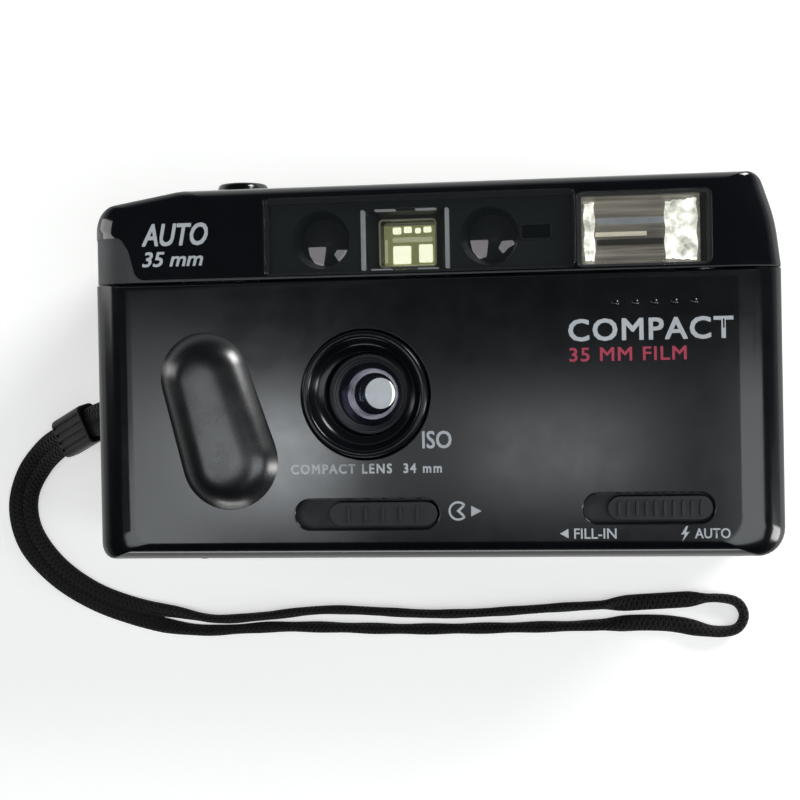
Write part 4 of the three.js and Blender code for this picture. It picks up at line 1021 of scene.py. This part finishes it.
SPOOL = (-49.4, 16.5)
REDUCTION = (SPOOL[0] + 8, SPOOL[1])
SPROCKET = (-35.3, 9.3)
CASSETTE = (21.3, 17.4)
put(turned([
    (6.4, -22.8), (8.5, -22.8), (8.5, -22.0), (8.3, -21.8), (7.7, -21.8), (7.5, -21.5), (7.5, 13.1), (7.7, 13.4),
    (8.3, 13.4), (8.5, 13.6), (8.5, 14.2), (4, 14.2), (4, 16.4), (1.3, 16.4), (1.3, 12.6), (6.4, 12.6), (6.4, -22.8),
], SPOOL, 96, "y"), "spool_drum", "spool", NYLON, "takeup_spool")
put(toothed(24, 0.5, 16.0, 17.1, SPOOL, bore=1.3), "spool_gear", "spool", NYLON, (), 0.05, 2)
for i in range(6):
    spin = Matrix.Translation((SPOOL[0], 0, SPOOL[1])) @ Matrix.Rotation(math.pi / 3 * i, 4, "Y")
    rib = prism(box2(-0.5, 0.5, -20.5, 12.2, 0.45), 7.3, 7.8)
    put(rib, f"spool_rib_{i + 1}", "spool", NYLON, (), 0.15, 2, place=spin)
    claw = prism(box2(-0.35, 0.35, -19.2, -17.8, 0.3), 7.7, 8.3)
    put(claw, f"spool_claw_{i + 1}", "spool", NYLON, (), 0.15, 2, place=spin)
put(turned([
    (0, -29.6), (5.6, -29.6), (5.9, -29.4), (6, -29.1), (6, 7.2), (5.8, 7.7), (5.3, 8), (2.2, 8), (2.2, 8.6),
    (0, 8.6),
], SPOOL, 72, "y"), "motor_can", "camera", STEEL, "drive_motor")
put(turned([(0, -31.4), (9.2, -31.4), (9.4, -31.2), (9.4, -29.7), (9.2, -29.5), (0, -29.5)], SPOOL, 72, "y"),
    "motor_foot", "camera", MATTE, ())
put(drum(0.75, 7.9, 17.2, SPOOL, 32, "y"), "motor_shaft", "camera", STEEL, ())
put(toothed(8, 0.5, 17.5, 18.6, SPOOL), "pinion_gear", "pinion", BRASS, "motor_pinion", 0.04, 2)
put(toothed(24, 0.5, 17.5, 18.6, REDUCTION, 0.5, 0.7), "reduction_wheel", "reduction", NYLON,
    "reduction_gear", 0.05, 2)
put(toothed(8, 0.5, 16.0, 18.8, REDUCTION, 0.5, 0.7), "reduction_pinion", "reduction", NYLON, (), 0.04, 2)
put(drum(1.5, -23.4, 15.2, SPROCKET, 40, "y"), "sprocket_axle", "sprocket", MATTE, "sprocket_shaft", 0.2, 2)
for side in (-1, 1):
    word = "low" if side < 0 else "high"
    y = LENS[1] + side * 14.2
    put(drum(3.7, y - 1.4, y + 1.4, SPROCKET, 56, "y"), f"sprocket_wheel_{word}", "sprocket", MATTE, (), 0.25, 3)
    for i in range(6):
        spin = Matrix.Translation((SPROCKET[0], y, SPROCKET[1])) @ Matrix.Rotation(math.pi / 3 * i, 4, "Y")
        tooth = loft([[(x, yy, z) for z, yy in box2(-half, half, -half, half, 0.15)]
                      for x, half in ((3.0, 0.55), (3.9, 0.5), (4.5, 0.3))])
        put(tooth, f"sprocket_tooth_{word}_{i + 1}", "sprocket", MATTE, (), 0.1, 2,
            place=spin)
put(toothed(16, 0.72, -31.3, -30.3, CASSETTE), "rewind_gear", "rewind", NYLON, "rewind_fork", 0.06, 2)
put(drum(2.6, -30.4, -27.2, CASSETTE, 48, "y"), "rewind_hub", "rewind", NYLON, (), 0.2, 2)
x, z = CASSETTE
put(slab(x - 2, x + 2, -27.4, -24.4, z - 0.5, z + 0.5), "rewind_blade", "rewind", NYLON, (), 0.3, 3)

for word, z, up_end in (("rear", 10.9, False), ("front", 25.9, True)):
    low, high, sign = (-32.1, 18.4, 1) if up_end else (18.4, -32.1, -1)
    profile = [(0, low), (6.6, low), (7.0, low + 0.2 * sign), (7.2, low + 0.7 * sign), (7.2, high - 1.9 * sign),
               (7.0, high - 1.5 * sign), (6.4, high - 1.2 * sign), (2.9, high - 1.2 * sign)]
    nub = [(2.75, high - 1.2 * sign), (2.75, high - 0.2 * sign), (2.5, high), (0, high)]
    put(turned(profile + nub, (50.6, z), 72, "y"), f"cell_{word}", "camera", STEEL, f"battery_{word}")
    wrap_low, wrap_high = sorted((low + 1.2 * sign, high - 2.2 * sign))
    wrap = [(7.21, wrap_low), (7.26, wrap_low + 0.1), (7.26, wrap_high - 0.1), (7.21, wrap_high)]
    put(turned(wrap, (50.6, z), 72, "y"), f"cell_wrap_{word}", "camera", WRAP, ())
    band_low, band_high = sorted((high - 2.2 * sign, high - 14 * sign))
    band = [(7.27, band_low), (7.29, band_low), (7.29, band_high), (7.27, band_high)]
    put(turned(band, (50.6, z), 72, "y"), f"cell_band_{word}", "camera", SLEEVE, ())
put(turned([
    (0, 14), (4.6, 14), (5.0, 14.2), (5.2, 14.6), (5.2, 36.6), (4.9, 36.9), (4.9, 37.2), (5.2, 37.5), (5.1, 38),
    (0, 38),
], (26.6, 12), 64, "x"), "capacitor_can", "camera", SLEEVE, "flash_capacitor")
put(turned([(0, 37.9), (4.2, 37.9), (4.4, 38.1), (4.4, 38.6), (4.2, 38.8), (0, 38.8)], (26.6, 12), 48, "x"),
    "capacitor_end", "camera", STEEL, ())
put(prism(box2(10, 41.2, -20, 14.6, 1.2), 32.6, 33.7), "board_sheet", "camera", BOARD, "circuit_board", 0.06, 2)
board_chips = ((14, 23, -8, 1, 35.2), (27, 35, 2, 10, 37.6), (28, 33, -12, -5, 35.0), (15, 19, 5, 11, 35.6))
for i, (x0, x1, y0, y1, top) in enumerate(board_chips):
    put(slab(x0, x1, y0, y1, 33.9, top), f"board_chip_{i + 1}", "camera", MATTE, (), 0.12, 2)
    columns = [x0 + 0.6 + 1.2 * k for k in range(int((x1 - x0) / 1.2))]
    pins = [slab(x, x + 0.4, y, y + 1.2, 33.6, 34.2) for x in columns for y in (y0 - 0.7, y1 - 0.5)]
    put(merged(*pins), f"board_pins_{i + 1}", "camera", STEEL, (), 0.05, 1)
return_coil = put(coiled((-37, 25), 27, 3.7, 2.6, 0.25, 3.5), "return_coil", "camera", STEEL, "button_spring",
                  angle=60)
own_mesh(return_coil)
leaf_spring = soften("pressure_spring", 0.03)
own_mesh(leaf_spring)
soften("strap_lug", 0.15)
put(prism(box2(16.1, 27.9, -14.9, 4.9, 1.4), 0.4, 1.9), "film_window", "door", FILM_GLASS, "door_window", 0.2, 3)
put(turned([(0, -27.4), (0.55, -27.4), (0.7, -27.2), (0.7, 13.2), (0.55, 13.4), (0, 13.4)], (-59.8, 2.2), 32, "y"),
    "hinge_pin", "camera", STEEL, "door_hinge_pin")
put(prism(box2(fx - 4.9, fx + 4.9, fy - 3.9, fy + 3.9, 1.2), 0.5, 3.6), "eyepiece_glass", "camera", CLEAR,
    "finder_eyepiece", 0.35, 3)

# ---------------------------------------------------------------- strap

OUT = [
    (-62.7, -4.6, 18.2), (-67.4, -5.9, 16.6), (-72.6, -7.4, 12.5), (-77.2, -9.3, 8.8), (-81.7, -11.3, 5.1),
    (-86.9, -14.4, 2.5), (-91.4, -19.8, 1.4), (-93.4, -27, 1.2), (-91.6, -34.8, 1.2), (-85.6, -41.8, 1.2),
    (-76.8, -47.3, 1.2), (-66, -51, 1.2), (-54, -53, 1.2), (-36, -52.3, 1.2), (-8, -52.7, 1.2),
    (22, -52.1, 1.2), (42, -51.5, 1.2),
]
FOLD = [(53.4, -53.1, 1.2), (56.7, -52.3, 1.2), (57.9, -49.8, 1.2), (56.7, -47.3, 1.2), (53.4, -46.4, 1.2)]
BACK = [
    (44, -46.9, 1.2), (24, -48.1, 1.2), (-2, -49.6, 1.2), (-27, -48.8, 1.2), (-40, -50.1, 1.2),
    (-50, -50.7, 1.2), (-58.5, -49.3, 1.2), (-67.5, -47.9, 1.2), (-77, -44.3, 1.2), (-85, -38.3, 1.2),
    (-89.7, -31, 1.2), (-90, -24.4, 1.3), (-86.4, -18.3, 2.2), (-80.6, -14, 5.1), (-76, -12.1, 8.8),
    (-71.5, -10.2, 12.5), (-67, -9.7, 16.6), (-62.7, -9.8, 18.2),
]


def smooth_line(points, spacing):
    """Evenly spaced points along a centripetal Catmull-Rom line."""
    knots = [Vector(p) for p in points]
    knots = [knots[0] * 2 - knots[1], *knots, knots[-1] * 2 - knots[-2]]
    fine = []
    for a, b, c, d in zip(knots, knots[1:], knots[2:], knots[3:]):
        t0 = 0.0
        t1 = t0 + math.sqrt((b - a).length)
        t2 = t1 + math.sqrt((c - b).length)
        t3 = t2 + math.sqrt((d - c).length)
        for k in range(24):
            t = t1 + (t2 - t1) * k / 24
            ab = a * ((t1 - t) / (t1 - t0)) + b * ((t - t0) / (t1 - t0))
            bc = b * ((t2 - t) / (t2 - t1)) + c * ((t - t1) / (t2 - t1))
            cd = c * ((t3 - t) / (t3 - t2)) + d * ((t - t2) / (t3 - t2))
            left = ab * ((t2 - t) / (t2 - t0)) + bc * ((t - t0) / (t2 - t0))
            rest = bc * ((t3 - t) / (t3 - t1)) + cd * ((t - t1) / (t3 - t1))
            fine.append(left * ((t2 - t) / (t2 - t1)) + rest * ((t - t1) / (t2 - t1)))
    fine.append(knots[-2])
    total = sum((q - p).length for p, q in zip(fine, fine[1:]))
    count = round(total / spacing)
    line, walked, goal = [fine[0]], 0.0, total / count
    for p, q in zip(fine, fine[1:]):
        step = (q - p).length
        while walked + step >= goal and len(line) < count:
            line.append(p.lerp(q, (goal - walked) / step))
            goal += total / count
        walked += step
    line.append(fine[-1])
    return line, total


def ease(value, low, high):
    t = min(max((value - low) / (high - low), 0.0), 1.0)
    return t * t * (3 - 2 * t)


def flat_cord(line, total, wide, thick):
    """A flat cord, flat in the left curve and under the battery door, and on edge along the front."""
    bm = bmesh.new()
    uv = bm.loops.layers.uv.new("cord")
    sides = 20
    rings, walked, before = [], [], 0.0
    for i, p in enumerate(line):
        if i:
            before += (p - line[i - 1]).length
        walked.append(before)
        ahead = (line[min(i + 1, len(line) - 1)] - line[max(i - 1, 0)]).normalized()
        across = ahead.cross(Vector((0, 0, 1))).normalized()
        high = across.cross(ahead)
        on_edge = ease(p.x, -72, -50) * (1 - ease(p.x, 29, 37) * (1 - ease(p.x, 45, 52)))
        roll = math.radians(78) * on_edge
        wave = 0.10 * math.sin(before * 0.55) * on_edge
        u = across * math.cos(roll + wave) + high * math.sin(roll + wave)
        v = high * math.cos(roll + wave) - across * math.sin(roll + wave)
        lift = Vector((0, 0, 1)) * (math.sin(roll) * (wide - thick) / 2 - 0.3) * ease(4.0 - p.z, 0, 2)
        ring = []
        for k in range(sides):
            angle = 2 * math.pi * k / sides
            c, s = math.cos(angle), math.sin(angle)
            a = math.copysign(abs(c) ** 0.75, c) * wide / 2
            b = math.copysign(abs(s) ** 0.75, s) * thick / 2
            ring.append(bm.verts.new(p + lift + u * a + v * b))
        rings.append(ring)
    for i, (low, high) in enumerate(zip(rings, rings[1:])):
        for k in range(sides):
            j = (k + 1) % sides
            face = bm.faces.new((low[k], low[j], high[j], high[k]))
            for loop, (distance, turn) in zip(face.loops, ((walked[i], k), (walked[i], k + 1),
                                                           (walked[i + 1], k + 1), (walked[i + 1], k))):
                loop[uv].uv = (distance, turn / sides)
    bm.faces.new(list(reversed(rings[0])))
    bm.faces.new(rings[-1])
    bmesh.ops.recalc_face_normals(bm, faces=bm.faces)
    centres = [sum((v.co for v in ring), Vector()) / sides for ring in rings]
    return bm, centres


line, strap_length = smooth_line(OUT + FOLD + BACK, 0.8)
strap_mesh, centres = flat_cord(line, strap_length, 3.3, 1.8)
strap = put(strap_mesh, "strap_braid", "camera", BRAID, "strap_cord", angle=60)


def slider_place():
    """Where the slider sits: its length falls along the strap."""
    heading, fall = math.radians(-157), math.radians(37)
    along = Vector((math.cos(heading) * math.cos(fall), math.sin(heading) * math.cos(fall), -math.sin(fall)))
    across = Vector((math.sin(heading), -math.cos(heading), 0))
    basis = Matrix((across, along.cross(across), along)).transposed().to_4x4()
    return Matrix.Translation((-76.6, -10.7, 8.8)) @ basis


slider_body = shaped(
    loft([[(x * squeeze, y * squeeze, z) for x, y in box2(-4.1, 4.1, -2.2, 2.2, 1.2)]
          for z, squeeze in ((-5.5, 0.94), (-5.2, 1), (5.2, 1), (5.5, 0.94))]),
    *(("cut", merged(*(prism(box2(x - 0.32, x + 0.32, low, high, 0.2), -5.0, 5.0) for x in (-2.4, -0.8, 0.8, 2.4))))
      for low, high in ((1.85, 3), (-3, -1.85))),
    ("cut", prism(box2(-3.2, 3.2, -1.45, 1.45, 0.6), -8, 8)),
)
slider = put(slider_body, "ribbed_slider", "camera", SLIDER, "strap_slider", 0.15, 2,
             place=slider_place())

# ---------------------------------------------------------------- floor and light

floor_paint = Paint("table", (0.66, 0.665, 0.655), 0.6)
floor_paint.set("Emission Color", (1.0, 1.0, 0.98, 1.0))
floor_paint.set("Emission Strength", 0.54)
floor_paint.rough(floor_paint.noise(30, 3), 0.5, 0.62)
floor_paint.bump(floor_paint.noise(900, 3), 0.04, 0.0002)
floor = thing(slab(-3000, 3000, -3000, 3000, -12, -0.02), "table_top")
floor.data.transform(Matrix.Scale(0.001, 4))
floor.data.materials.append(floor_paint.material)


def lamp(name, place, target, size, watts, colour=(1, 1, 1)):
    data = bpy.data.lights.new(name, "AREA")
    data.shape = "RECTANGLE"
    data.size, data.size_y = size
    data.energy = watts
    data.color = colour
    obj = bpy.data.objects.new(name, data)
    bpy.context.scene.collection.objects.link(obj)
    obj.location = place
    aimed = (Vector(target) - Vector(place)).to_track_quat("-Z", "Y")
    obj.rotation_euler = aimed.to_euler()
    return obj


ROOM_TINT = (0.92, 0.97, 1.0)
# The softboxes overhead, each a rectangle (x0, x1, y0, y1) at a height, and how bright it is. The
# bright cores hang just below the wide ones, in front of them.
softboxes = {
    "left": ((-0.36, -0.17, -0.115, -0.008), 0.95, 2.7),
    "left_core": ((-0.27, -0.185, -0.085, -0.022), 0.94, 5.6),
    "left_low": ((-0.36, -0.28, -0.17, -0.115), 0.95, 3.2),
    "left_high": ((-0.36, -0.28, -0.008, 0.045), 0.95, 1.1),
    "left_edge": ((-0.62, -0.36, -0.30, -0.05), 0.95, 2.4),
    "left_edge_high": ((-0.62, -0.36, -0.05, 0.05), 0.95, 0.6),
    "middle": ((-0.14, 0.08, -0.10, -0.008), 0.95, 0.85),
    "middle_core": ((-0.07, 0.04, -0.085, -0.03), 0.94, 2.1),
    "right_fade": ((0.110, 0.20, -0.30, 0.0), 0.95, 1.0),
    "right": ((0.17, 0.80, -0.40, 0.01), 0.96, 2.5),
}
for name, ((x0, x1, y0, y1), height, brightness) in softboxes.items():
    x, y = (x0 + x1) / 2, (y0 + y1) / 2
    size = (x1 - x0, y1 - y0)
    watts = 4 * size[0] * size[1] * brightness
    lamp(f"softbox_{name}", (x, y, height), (x, y, 0), size, watts, ROOM_TINT)
lamp("upper_right", (0.80, 0.72, 0.60), (0, 0, 0.02), (0.40, 0.40), 11.0)
lamp("left_end", (-1.1, 0.20, 0.34), (0, 0, 0.02), (0.25, 0.9), 2.6)
lamp("right_end", (1.1, -0.30, 0.34), (0, 0, 0.02), (0.25, 0.6), 6.0)
lamp("front", (-0.25, -1.3, 0.20), (0, 0, 0.02), (0.9, 0.2), 3.5)
world = bpy.data.worlds.new("room")
world.use_nodes = True
sky = world.node_tree
ground = sky.nodes["Background"]
ground.inputs["Color"].default_value = (0.95, 0.97, 1.0, 1)
direction = sky.nodes.new("ShaderNodeTexCoord")
parts_of = sky.nodes.new("ShaderNodeSeparateXYZ")
sky.links.new(direction.outputs["Generated"], parts_of.inputs["Vector"])
strength = sky.nodes.new("ShaderNodeMath")
strength.operation = "MULTIPLY"
for socket, (low, high, at_low, at_high) in enumerate(((0.02, 0.40, 0.78, 0.05), (-0.6, 0.1, 0.3, 1.0))):
    fade = sky.nodes.new("ShaderNodeMapRange")
    for key, value in {"From Min": low, "From Max": high, "To Min": at_low, "To Max": at_high}.items():
        fade.inputs[key].default_value = value
    sky.links.new(parts_of.outputs["Z" if socket == 0 else "Y"], fade.inputs["Value"])
    sky.links.new(fade.outputs["Result"], strength.inputs[socket])
sky.links.new(strength.outputs["Value"], ground.inputs["Strength"])
bpy.context.scene.world = world
bpy.context.scene.view_settings.view_transform = "Standard"
